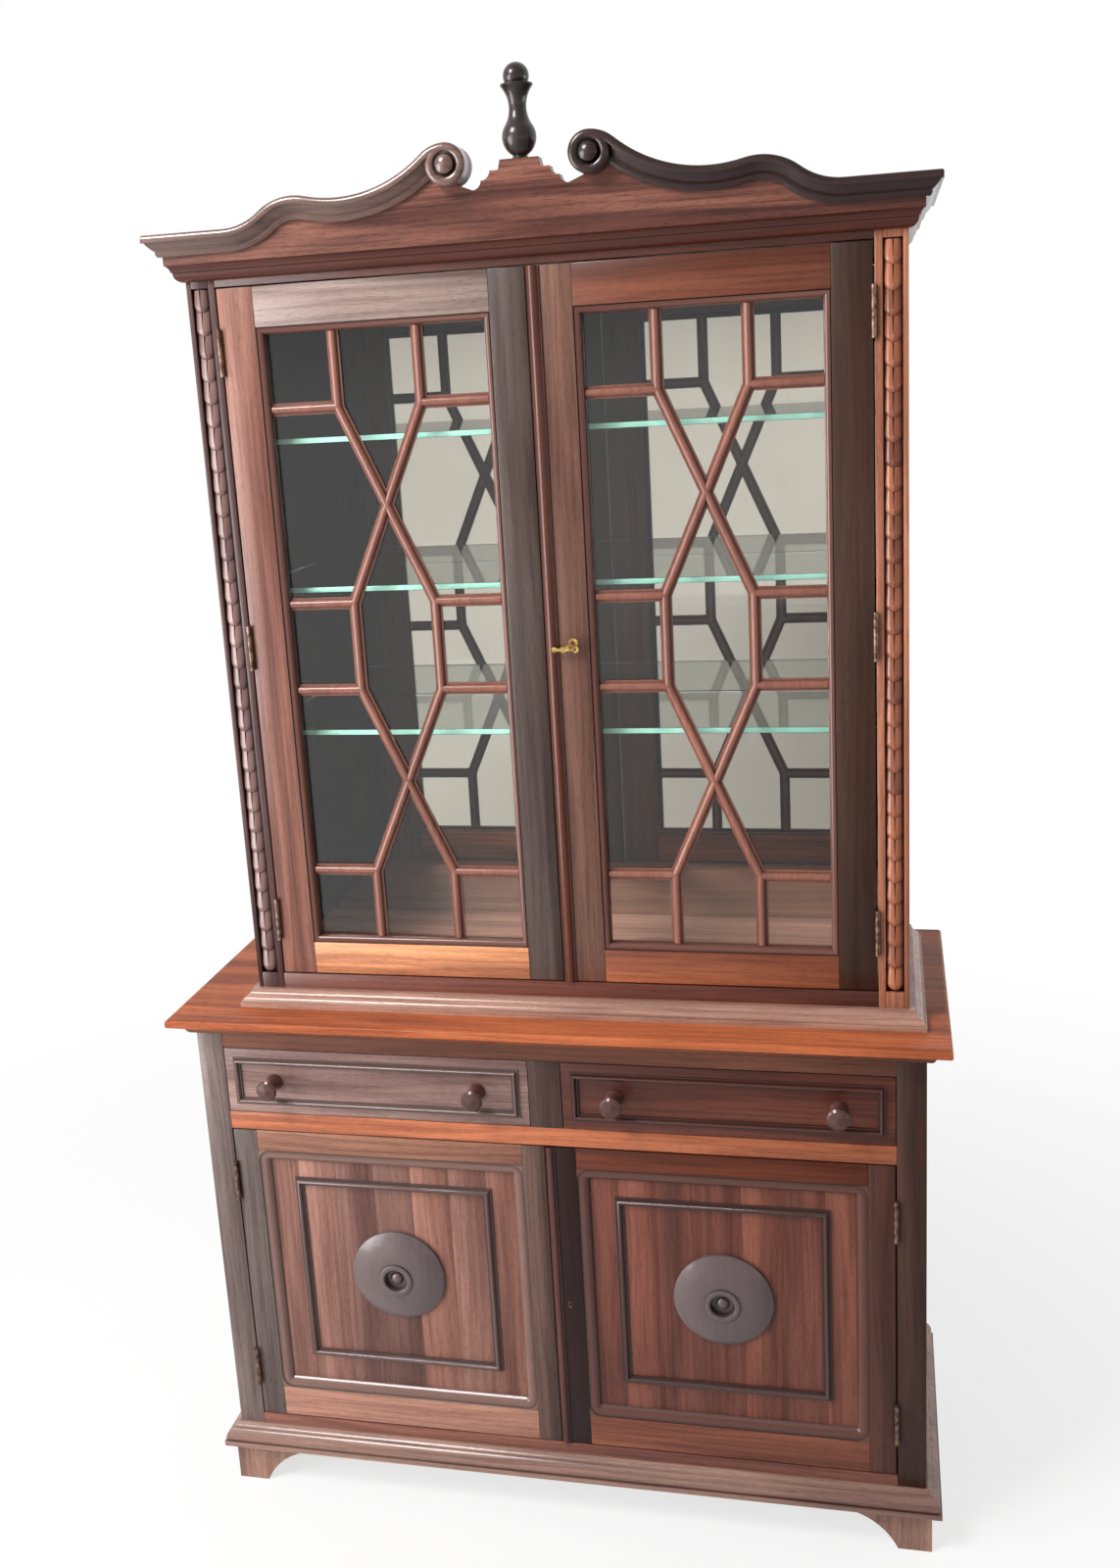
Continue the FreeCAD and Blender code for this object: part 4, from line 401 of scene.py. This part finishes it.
# Panel doors: stiles and rails jointed round an opening with a thumb moulding and rounded corners,
# a panel of upright strips behind them, a mitred square bead on it and a turned boss in its middle.
panel_doors = {
    "left": {"stiles": ((111, 98, 92), (103, 78, 68)), "head": (185, 133, 106),
             "foot": (191, 140, 118), "thumb": (140, 106, 94), "bead": (112, 86, 80),
             "strips": ((158, 114, 99), (168, 122, 106), (148, 108, 96), (138, 100, 88),
                        (162, 113, 95), (146, 104, 90), (152, 104, 88))},
    "right": {"stiles": ((43, 15, 12), (92, 56, 44)), "head": (107, 48, 22),
              "foot": (153, 93, 69), "thumb": (106, 64, 52), "bead": (86, 56, 50),
              "strips": ((134, 80, 64), (144, 86, 69), (130, 78, 63), (134, 80, 64),
                         (138, 82, 64), (128, 76, 61), (140, 84, 66))}}
# The third number of each point is the share of tone kept there: painted shade in the quirks and at
# the foot of the thumb.
thumb_profile = ([(0, 0, 1), (0, 0, 1), (0.0008, -0.0014, 0.6)]
                 + arched((0.002, -0.0014), (0.0175, -0.0078), 0.0032, 0.6)
                 + [(0.0178, -0.0085, 0.4)])
thumb_corner, strip_ease = 0.018, 0.00015
boss_wood = rosewood("turned_boss_wood", hue(102, 86, 86), "z", bands=0.2, coat=0.5, gloss=0.4,
                     streaks=0.35)
astragal_wood = rosewood("astragal_wood", hue(100, 54, 45), "z", bands=0.6, coat=0.5)
for side, tones in panel_doors.items():
    body = side + "_panel_door"
    low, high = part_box(side + "_panel_door_frame")
    low.y = front
    panel_low, panel_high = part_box(side + "_panel_door_panel")
    work = workbench()
    for start, end, tone in ((low.x, panel_low.x, tones["stiles"][0]),
                             (panel_high.x, high.x, tones["stiles"][1])):
        plank(work, (start, low.y, low.z), (end, high.y, high.z), "z", tone)
    for start, end, tone in ((low.z, panel_low.z, tones["foot"]),
                             (panel_high.z, high.z, tones["head"])):
        plank(work, (panel_low.x, low.y, start), (panel_high.x, high.y, end), "x", tone)
    joined(work, side + "_panel_door_boards", body, boards, "rosewood",
           side + "_panel_door_frame")
    work = workbench()
    picture_frame(work, panel_low.x, panel_high.x, panel_low.z, panel_high.z, front,
                  thumb_profile, tones["thumb"], thumb_corner)
    joined(work, side + "_thumb_moulding", body, moulding_wood, "rosewood",
           side + "_panel_door_frame")
    work = workbench()
    width = (panel_high.x - panel_low.x) / len(tones["strips"])
    for index, tone in enumerate(tones["strips"]):
        start = panel_low.x + index * width
        plank(work, (start, panel_low.y, panel_low.z),
              (start + width, panel_high.y, panel_high.z), "z", tone, strip_ease)
    joined(work, side + "_panel_strips", body, boards, "rosewood", side + "_panel_door_panel")
    low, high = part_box(side + "_panel_door_bead_frame")
    work = workbench()
    picture_frame(work, low.x, high.x, low.z, high.z, panel_low.y, beaded(0.013, 0.006),
                  tones["bead"])
    joined(work, side + "_square_bead", body, moulding_wood, "dark_rosewood",
           side + "_panel_door_bead_frame")
    dress(side + "_panel_door_boss", boss_wood)
dress("right_panel_door_astragal", astragal_wood)

# Brass: pressed butt hinges let into the edges of the doors, a small lock in each right-hand door,
# the rim of the lower keyhole, shelf pins, and the key. All of it is lacquered and has gone a
# little dull.
def patchy(tree, shader, dull, bright, scale, detail=2.0, low=0.0, high=1.0):
    """Colour a shader in cloudy patches, and give back the noise that places them."""
    place = tree.nodes.new("ShaderNodeTexCoord")
    patches = tree.nodes.new("ShaderNodeTexNoise")
    patches.inputs["Scale"].default_value = scale
    patches.inputs["Detail"].default_value = detail
    colour = tree.nodes.new("ShaderNodeValToRGB")
    for stop, position, tone in zip(colour.color_ramp.elements, (low, high), (dull, bright)):
        stop.position = position
        stop.color = hue(*tone)
    tree.links.new(place.outputs["Object"], patches.inputs["Vector"])
    tree.links.new(patches.outputs["Fac"], colour.inputs["Fac"])
    tree.links.new(colour.outputs["Color"], shader.inputs["Base Color"])
    return patches.outputs["Fac"]


def brass_finish(name, bright, dull, rough):
    """Aged brass: bright where it is rubbed, brown in cloudy patches."""
    finish, tree, shader = blank(name)
    shader.inputs["Metallic"].default_value = 1
    patches = patchy(tree, shader, dull, bright, 140, 4, 0.38, 0.62)
    tree.links.new(ranged(tree, patches, 0, 1, rough + 0.2, rough), shader.inputs["Roughness"])
    return finish


bright_brass = brass_finish("key_brass", (226, 196, 120), (150, 112, 60), 0.22)
dull_brass = brass_finish("hinge_brass", (150, 124, 108), (92, 68, 58), 0.4)
for node in ("case_hinge_leaves", "left_glazed_door_hinge_leaves",
             "right_glazed_door_hinge_leaves", "left_panel_door_hinge_leaves",
             "right_panel_door_hinge_leaves", "right_glazed_door_lock", "right_panel_door_lock",
             "lock_bolt", "shelf_pins"):
    dress(node, dull_brass)
dress("key", bright_brass)
rim_radius, rim_width, rim_depth, rim_stretch, rim_proud = 0.0033, 0.0012, 0.0008, 1.6, 0.0005
eye_right, eye_down = 0.0035, 0.0055
low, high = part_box("right_panel_door_lock")
eye = Vector(((low.x + high.x) / 2 + eye_right, front, (low.z + high.z) / 2 - eye_down))
work = bmesh.new()
bmesh.ops.create_circle(work, cap_ends=True, radius=rim_radius, segments=24,
                        matrix=Matrix.Rotation(math.pi / 2, 4, "X"))
mouth = work.faces[:]
bmesh.ops.inset_region(work, faces=mouth, thickness=rim_width, use_boundary=True)
bmesh.ops.delete(work, geom=mouth, context="FACES")
bmesh.ops.solidify(work, geom=work.faces[:], thickness=rim_depth)
bmesh.ops.scale(work, vec=(1, 1, rim_stretch), verts=work.verts)
lift = min(point.co.y for point in work.verts) + rim_proud
bmesh.ops.translate(work, vec=eye - Vector((0, lift, 0)), verts=work.verts)
joined(work, "lower_keyhole_rim", "right_panel_door", dull_brass, "brass")

# Upper case: sides with thin dark matt linings that paint shade inside, floor and roof, with a
# front frame of two stiles that are recessed for the carved strips, and a framed board back behind
# the mirror.
low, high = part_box("upper_sides")
side_joint = (low.y + high.y) / 2
work = workbench()
for left in (low.x, high.x - side_thickness):
    for start, end, tone in ((low.y, side_joint, (124, 78, 64)),
                             (side_joint, high.y, (110, 70, 59))):
        plank(work, (left, start, low.z), (left + side_thickness, end, high.z), "z", tone,
              side_ease)
joined(work, "upper_side_boards", "case", boards, "rosewood", "upper_sides")
# The linings are dark matt sheets a third of a millimetre thick inside the sides: painted shade.
lining_thickness, lining_gap, lining_ease = 0.0003, 0.0001, 0.00005
lining_foot, lining_head, lining_back = 0.8465, 1.8445, 0.1425
inset = side_thickness + lining_gap
work = workbench()
for left in (low.x + inset, high.x - inset - lining_thickness):
    plank(work, (left, low.y, lining_foot), (left + lining_thickness, lining_back, lining_head),
          "z", (58, 46, 41), lining_ease)
joined(work, "upper_side_shade_linings", "case",
       rosewood("side_shade_lining_wood", bands=0.6, coat=0.0, gloss=0.0), "inner_wood")
stile_low, stile_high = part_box("upper_front_stiles")
recess_low, recess_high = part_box("carved_strips")
upper_stile, recess_width, recess_depth = 0.041, 0.0245, 0.005
recess_play, recess_ease = 0.002, 0.0003
bottom, top = recess_low.z - recess_play, recess_high.z + recess_play
work = workbench()
for left, start, tone in ((stile_low.x, recess_low.x, (96, 68, 63)),
                          (stile_high.x - upper_stile, recess_high.x - recess_width,
                           (193, 126, 95))):
    end, right = start + recess_width, left + upper_stile
    plank(work, (left, stile_low.y, stile_low.z), (start, stile_high.y, stile_high.z), "z", tone)
    plank(work, (end, stile_low.y, stile_low.z), (right, stile_high.y, stile_high.z), "z", tone)
    # The floor of the recess is near black: painted shade in the grooves beside the husks.
    for face, foot, head, shade in ((stile_low.y, stile_low.z, bottom, tone),
                                    (stile_low.y, top, stile_high.z, tone),
                                    (stile_low.y + recess_depth, bottom, top, (46, 30, 26))):
        plank(work, (start, face, foot), (end, stile_high.y, head), "z", shade, recess_ease)
joined(work, "upper_stile_boards", "case", boards, "rosewood", "upper_front_stiles")
foot_rail_top, head_rail_foot = 0.848, 1.836
low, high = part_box("upper_rails")
work = workbench()
plank(work, low, (high.x, high.y, foot_rail_top), "x", (120, 66, 52))
plank(work, (low.x, low.y, head_rail_foot), high, "x", (100, 58, 48))
joined(work, "upper_rail_boards", "case", boards, "rosewood", "upper_rails")
# The floor of the upper case is far paler than the other inner boards: painted light on a floor the
# lamps reach only at a slant.
dress("upper_floor",
      rosewood("upper_floor_lit_wood", hue(190, 140, 120), "x", bands=0.5, coat=0.0))
dress("upper_roof", inner)
dress("upper_back_panel", inner_upright)
# The waist moulding's pale tone is partly painted highlight.
dress("waist_moulding", rosewood("waist_wood", hue(204, 159, 137), "x", bands=0.5, coat=0.6))
dress("cornice_moulding", rosewood("cornice_wood", hue(88, 36, 20), "x", bands=0.5, coat=0.4))

# Carved strips: one run of overlapping husks a side, cut in solid rosewood with a gouge, each husk
# split down its middle and rounded at its lower end, and glued into the recess of the stile.
husk_count, husk_pitch, husk_shaft = 32, 0.03075, 0.027
husk_half, husk_bulge, husk_end = 0.0106, 0.0062, 0.0120
husk_back, husk_lean = 0.0026, math.radians(-8.5)
slit_half, slit_depth, slit_foot, slit_taper = 0.0013, 0.0034, -0.0035, 0.024


def husk(work, x, floor, low, tone):
    """One carved husk: a rounded tongue with a slit, which leans out over the next one."""
    known = set(work.verts)

    def fresh():
        return [point for point in work.verts if point not in known]

    def halved(place, normal, clear=False):
        points = fresh()
        parts = dict.fromkeys([*(edge for point in points for edge in point.link_edges),
                               *(item for point in points for item in point.link_faces)])
        bmesh.ops.bisect_plane(work, geom=[*points, *parts], plane_co=place, plane_no=normal,
                               clear_outer=clear, dist=0.00001)

    bmesh.ops.create_uvsphere(work, u_segments=16, v_segments=10, radius=1)
    bmesh.ops.scale(work, vec=(husk_half, husk_bulge, husk_end), verts=fresh())
    halved((0, husk_back, 0), (0, 1, 0), True)
    halved((0, 0, 0), (0, 0, 1), True)
    rim = [edge for point in fresh() for edge in point.link_edges
           if all(abs(end.co.z) < 1e-6 for end in edge.verts)]
    drawn = bmesh.ops.extrude_edge_only(work, edges=list(dict.fromkeys(rim)))["geom"]
    bmesh.ops.translate(work, vec=(0, 0, husk_shaft),
                        verts=[item for item in drawn if isinstance(item, bmesh.types.BMVert)])
    for place in (-slit_half, 0.0, slit_half):
        halved((place, 0, 0), (1, 0, 0))
    halved((0, 0, slit_foot), (0, 0, 1))
    # The middle line sinks in front, and the lines beside it close up towards the foot.
    for point in fresh():
        if abs(point.co.x) < 0.0003 and -0.002 < point.co.z and point.co.y < 0:
            point.co.y += slit_depth
        elif abs(point.co.x) < slit_half + 0.0001:
            point.co.x *= max(0.2, min(1, (point.co.z - slit_foot) / slit_taper))
    bmesh.ops.rotate(work, cent=(0, 0, -husk_end), matrix=Matrix.Rotation(husk_lean, 3, "X"),
                     verts=fresh())
    bmesh.ops.translate(work, vec=(x, floor - husk_back, low + husk_end), verts=fresh())
    stain(work, known, "z", hue(*tone))


for side, middle, tone in (("left", recess_low.x + recess_width / 2, (145, 112, 106)),
                           ("right", recess_high.x - recess_width / 2, (175, 104, 71))):
    work = workbench()
    for index in range(husk_count):
        husk(work, middle, recess_low.y + recess_depth, recess_low.z + index * husk_pitch, tone)
    bmesh.ops.bisect_plane(work, geom=work.verts[:] + work.edges[:] + work.faces[:],
                           plane_co=(0, 0, recess_high.z), plane_no=(0, 0, 1), clear_outer=True)
    joined(work, side + "_husk_strip", "case", moulding_wood, "rosewood", "carved_strips")

# Mirror, shelves and panes: a silvered plate that fills the back of the upper case, three glass
# shelves with ground greenish edges on brass pins, and thirteen thin panes in each door.
silver, tree, shader = blank("mirror_silver")
shader.inputs["Metallic"].default_value = 1
shader.inputs["Roughness"].default_value = 0.02
patchy(tree, shader, (196, 187, 174), (212, 204, 192), 2.5)
dress("mirror", silver)


def glass_finish(name, clear, edge, across):
    """Clear glass that lets lamplight through. Its narrow edges show the tint of the metal."""
    finish, tree, shader = blank(name)
    shader.inputs["Transmission Weight"].default_value = 1
    shader.inputs["Roughness"].default_value = 0.0
    shader.inputs["IOR"].default_value = 1.46
    surface = tree.nodes.new("ShaderNodeNewGeometry")
    side_on = tree.nodes.new("ShaderNodeVectorMath")
    side_on.operation = "ABSOLUTE"
    parts = tree.nodes.new("ShaderNodeSeparateXYZ")
    through = tree.nodes.new("ShaderNodeBsdfTransparent")
    ray = tree.nodes.new("ShaderNodeLightPath")
    either = tree.nodes.new("ShaderNodeMixShader")
    link = tree.links.new
    link(surface.outputs["True Normal"], side_on.inputs[0])
    link(side_on.outputs["Vector"], parts.inputs["Vector"])
    link(mixed(tree, "MIX", parts.outputs[across], hue(*edge), hue(*clear)),
         shader.inputs["Base Color"])
    link(ray.outputs["Is Shadow Ray"], either.inputs["Fac"])
    link(shader.outputs["BSDF"], either.inputs[1])
    link(through.outputs["BSDF"], either.inputs[2])
    link(either.outputs["Shader"], tree.nodes["Material Output"].inputs["Surface"])
    return finish


dress("glass_shelves", glass_finish("shelf_glass", (244, 250, 247), (150, 214, 192), "Z"))
ground, tree, shader = blank("ground_glass_edge")
shader.inputs["Coat Weight"].default_value = 0.5
chips = patchy(tree, shader, (92, 158, 138), (168, 218, 200), 40)
tree.links.new(ranged(tree, chips, 0, 1, 0.2, 0.5), shader.inputs["Roughness"])
edge_inset, edge_proud, edge_arris, glass_thickness = 0.001, 0.0004, 0.0005, 0.008
low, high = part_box("glass_shelves")
work = workbench()
for top in (1.2120, 1.4209, 1.6299):
    plank(work, (low.x + edge_inset, low.y - edge_proud, top - glass_thickness + edge_arris),
          (high.x - edge_inset, low.y, top - edge_arris), "x", (130, 190, 170), 0.0001)
joined(work, "shelf_front_edges", "case", ground, "glass")
pane_glass = glass_finish("pane_glass", (250, 252, 251), (190, 214, 204), "Y")
for side in ("left", "right"):
    dress(side + "_glazed_door_panes", pane_glass)

# Glazed doors: stiles and rails of mixed boards round a mitred sash moulding, with glazing bars of
# half-round section let into it and the panes bedded behind them.
def mortise(work, x, y, z, depth):
    """A pocket sunk from the edge of a board at x, between two depths y and two heights z."""
    for axis, places in ((1, y), (2, z)):
        for place in places:
            point, normal = [0, 0, 0], [0, 0, 0]
            point[axis], normal[axis] = place, 1
            bmesh.ops.bisect_plane(work, geom=work.verts[:] + work.edges[:] + work.faces[:],
                                   plane_co=point, plane_no=normal)
    mouth = [item for item in work.faces if abs(item.calc_center_median().x - x) < 1e-5
             and y[0] < item.calc_center_median().y < y[1]
             and z[0] < item.calc_center_median().z < z[1]]
    sunk = bmesh.ops.extrude_face_region(work, geom=mouth)["geom"]
    bmesh.ops.delete(work, geom=mouth, context="FACES_ONLY")
    bmesh.ops.translate(work, vec=(depth, 0, 0),
                        verts=[item for item in sunk if isinstance(item, bmesh.types.BMVert)])


# The edges of the sash moulding keep less of the tone: painted shade in its quirks.
sash_profile = ([(0, -0.00075, 0.6), (0.0008, -0.0018, 0.45)]
                + arched((0.0015, -0.00075), (0.010, -0.00925), 0.0025) + [(0.010, -0.0145, 0.4)])
bar_wood = rosewood("glazing_bar_wood", hue(150, 96, 78), "z", bands=0.3, coat=0.6, gloss=0.25,
                    streaks=0.6)
bolt_pocket = (-0.1303, -0.1257), (1.3407, 1.3533), -0.009
lock_pocket = (-0.1331, -0.1229), (1.3109, 1.3571), 0.0402
centre = (stile_low.x + stile_high.x) / 2
near, far, bottom, top = 0.0555, 0.382, 0.898, 1.7805
# The left door's foot rail is near white orange, a painted highlight, and its head rail pale grey,
# partly painted reflection.
for side, sign, pocket, meeting, hung, foot, head in (
        ("left", -1, bolt_pocket, (96, 81, 74), (163, 113, 95), (249, 172, 122), (158, 138, 128)),
        ("right", 1, lock_pocket, (138, 100, 83), (70, 44, 31), (186, 111, 74), (126, 71, 49))):
    body = side + "_glazed_door"
    low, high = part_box(side + "_glazed_door_frame")
    left, right = sorted((centre + sign * near, centre + sign * far))
    stiles = (low.x, left), (right, high.x)
    work = workbench()
    start, end = stiles[sign < 0]
    plank(work, (start, low.y, low.z), (end, high.y, high.z), "z", meeting)
    mortise(work, end if sign < 0 else start, *pocket)
    start, end = stiles[sign > 0]
    plank(work, (start, low.y, low.z), (end, high.y, high.z), "z", hung)
    plank(work, (left, low.y, low.z), (right, high.y, bottom), "x", foot)
    plank(work, (left, low.y, top), (right, high.y, high.z), "x", head)
    joined(work, side + "_glazed_door_boards", body, boards, "rosewood",
           side + "_glazed_door_frame")
    work = workbench()
    picture_frame(work, left, right, bottom, top, stile_low.y, sash_profile, (120, 72, 57))
    joined(work, side + "_sash_moulding", body, moulding_wood, "rosewood",
           side + "_glazed_door_frame")
    dress(side + "_glazed_door_glazing_bars", bar_wood)
dress("right_glazed_door_astragal",
      rosewood("upper_astragal_wood", hue(102, 47, 25), "z", bands=0.5, coat=0.5))

# Pediment: a board sawn to a swan-neck curve, with the crown moulding bent over it and rolled into
# scrolls, and a turned finial on the plinth between them.
dress("pediment_board",
      rosewood("pediment_wood", hue(150, 98, 80), "x", bands=1.0, coat=0.25, streaks=1.7))
# Both swan necks are one crown moulding: the left gets a pale tone with painted sheen, the right a
# near black one with painted shade.
dress("left_swan_neck",
      rosewood("left_crown_wood_lit", hue(124, 94, 82), "x", bands=0.5, coat=1.0))
dress("right_swan_neck",
      rosewood("right_crown_wood_shaded", hue(50, 24, 19), "x", bands=0.4, coat=0.6))
dress("finial", rosewood("finial_wood", hue(48, 36, 33), "z", bands=0.4, coat=0.6))

# Floor and light: a plain white floor that keeps the shadow, two large soft lights from the left
# that whiten the polish there, a high one over the front, and weaker ones at the right and behind.
def looked_at(tree, ray):
    """One for a ray from the camera, also when it comes by way of polish or glass."""
    straight = counted(tree, "MAXIMUM", ray.outputs["Is Camera Ray"], ray.outputs["Is Glossy Ray"])
    return counted(tree, "MAXIMUM", straight, ray.outputs["Is Transmission Ray"])


work = bmesh.new()
bmesh.ops.create_grid(work, x_segments=1, y_segments=1, size=9)
mesh = bpy.data.meshes.new("studio_floor")
work.to_mesh(mesh)
work.free()
floor = bpy.data.objects.new("studio_floor", mesh)
scene.collection.objects.link(floor)
paper, tree, shader = blank("floor_paper")
tree.nodes.remove(shader)
matt = tree.nodes.new("ShaderNodeBsdfDiffuse")
matt.inputs["Color"].default_value = (0.86, 0.86, 0.86, 1)
shine = tree.nodes.new("ShaderNodeEmission")
where = tree.nodes.new("ShaderNodeTexCoord")
across = tree.nodes.new("ShaderNodeSeparateXYZ")
reach = tree.nodes.new("ShaderNodeVectorMath")
reach.operation = "LENGTH"
ray = tree.nodes.new("ShaderNodeLightPath")
blend = tree.nodes.new("ShaderNodeMixShader")
link = tree.links.new
link(where.outputs["Object"], reach.inputs[0])
link(where.outputs["Object"], across.inputs["Vector"])
mirrored = counted(tree, "MULTIPLY", ranged(tree, across.outputs["X"], -1.4, 0.9, 0.0, 0.62),
                   ray.outputs["Is Glossy Ray"])
link(counted(tree, "SUBTRACT", 1, mirrored), shine.inputs["Strength"])
link(counted(tree, "MULTIPLY", looked_at(tree, ray),
             ranged(tree, reach.outputs["Value"], 0.7, 2.2, 0.72, 1.0)), blend.inputs["Fac"])
link(matt.outputs["BSDF"], blend.inputs[1])
link(shine.outputs["Emission"], blend.inputs[2])
link(blend.outputs["Shader"], tree.nodes["Material Output"].inputs["Surface"])
floor.data.materials.append(paper)

world = bpy.data.worlds.new("studio")
scene.world = world
world.use_nodes = True
tree = world.node_tree
backdrop = tree.nodes["Background"]
backdrop.inputs["Color"].default_value = (1, 1, 1, 1)
glow = tree.nodes.new("ShaderNodeBackground")
glow.inputs["Color"].default_value = (1, 0.985, 0.97, 1)
glow.inputs["Strength"].default_value = 0.22
ray = tree.nodes.new("ShaderNodeLightPath")
toward = tree.nodes.new("ShaderNodeTexCoord")
parts = tree.nodes.new("ShaderNodeSeparateXYZ")
blend = tree.nodes.new("ShaderNodeMixShader")
link = tree.links.new
link(toward.outputs["Generated"], parts.inputs["Vector"])
dim = ray.outputs["Glossy Depth"]
for part, start, end in (("Y", 0.25, -0.15), ("Z", -0.02, 0.10)):
    dim = counted(tree, "MULTIPLY", ranged(tree, parts.outputs[part], start, end), dim)
link(ranged(tree, dim, 0, 1, 1.0, 0.5), backdrop.inputs["Strength"])
link(looked_at(tree, ray), blend.inputs["Fac"])
link(glow.outputs["Background"], blend.inputs[1])
link(backdrop.outputs["Background"], blend.inputs[2])
link(blend.outputs["Shader"], tree.nodes["World Output"].inputs["Surface"])
for name, place, width, height, power in (("window_light", (-2.4, -2.4, 1.5), 1.3, 2.2, 44),
                                          ("left_light", (-2.3, -1.5, 1.1), 1.2, 2.0, 46),
                                          ("high_light", (-1.4, -1.9, 3.5), 1.0, 1.0, 90),
                                          ("side_light", (3.3, 0.5, 1.1), 1.6, 1.6, 34),
                                          ("back_light", (0.7, 3.6, 1.4), 1.8, 1.8, 45)):
    lamp = bpy.data.lights.new(name, "AREA")
    lamp.shape = "RECTANGLE"
    lamp.size = width
    lamp.size_y = height
    lamp.energy = power
    holder = bpy.data.objects.new(name, lamp)
    holder.visible_camera = holder.visible_glossy = name != "back_light"
    holder.matrix_world = (Matrix.Translation(place)
                           @ (Vector((0, 0, 1)) - Vector(place)).to_track_quat("-Z", "Y")
                           .to_matrix().to_4x4())
    scene.collection.objects.link(holder)
scene.view_settings.view_transform = "Standard"
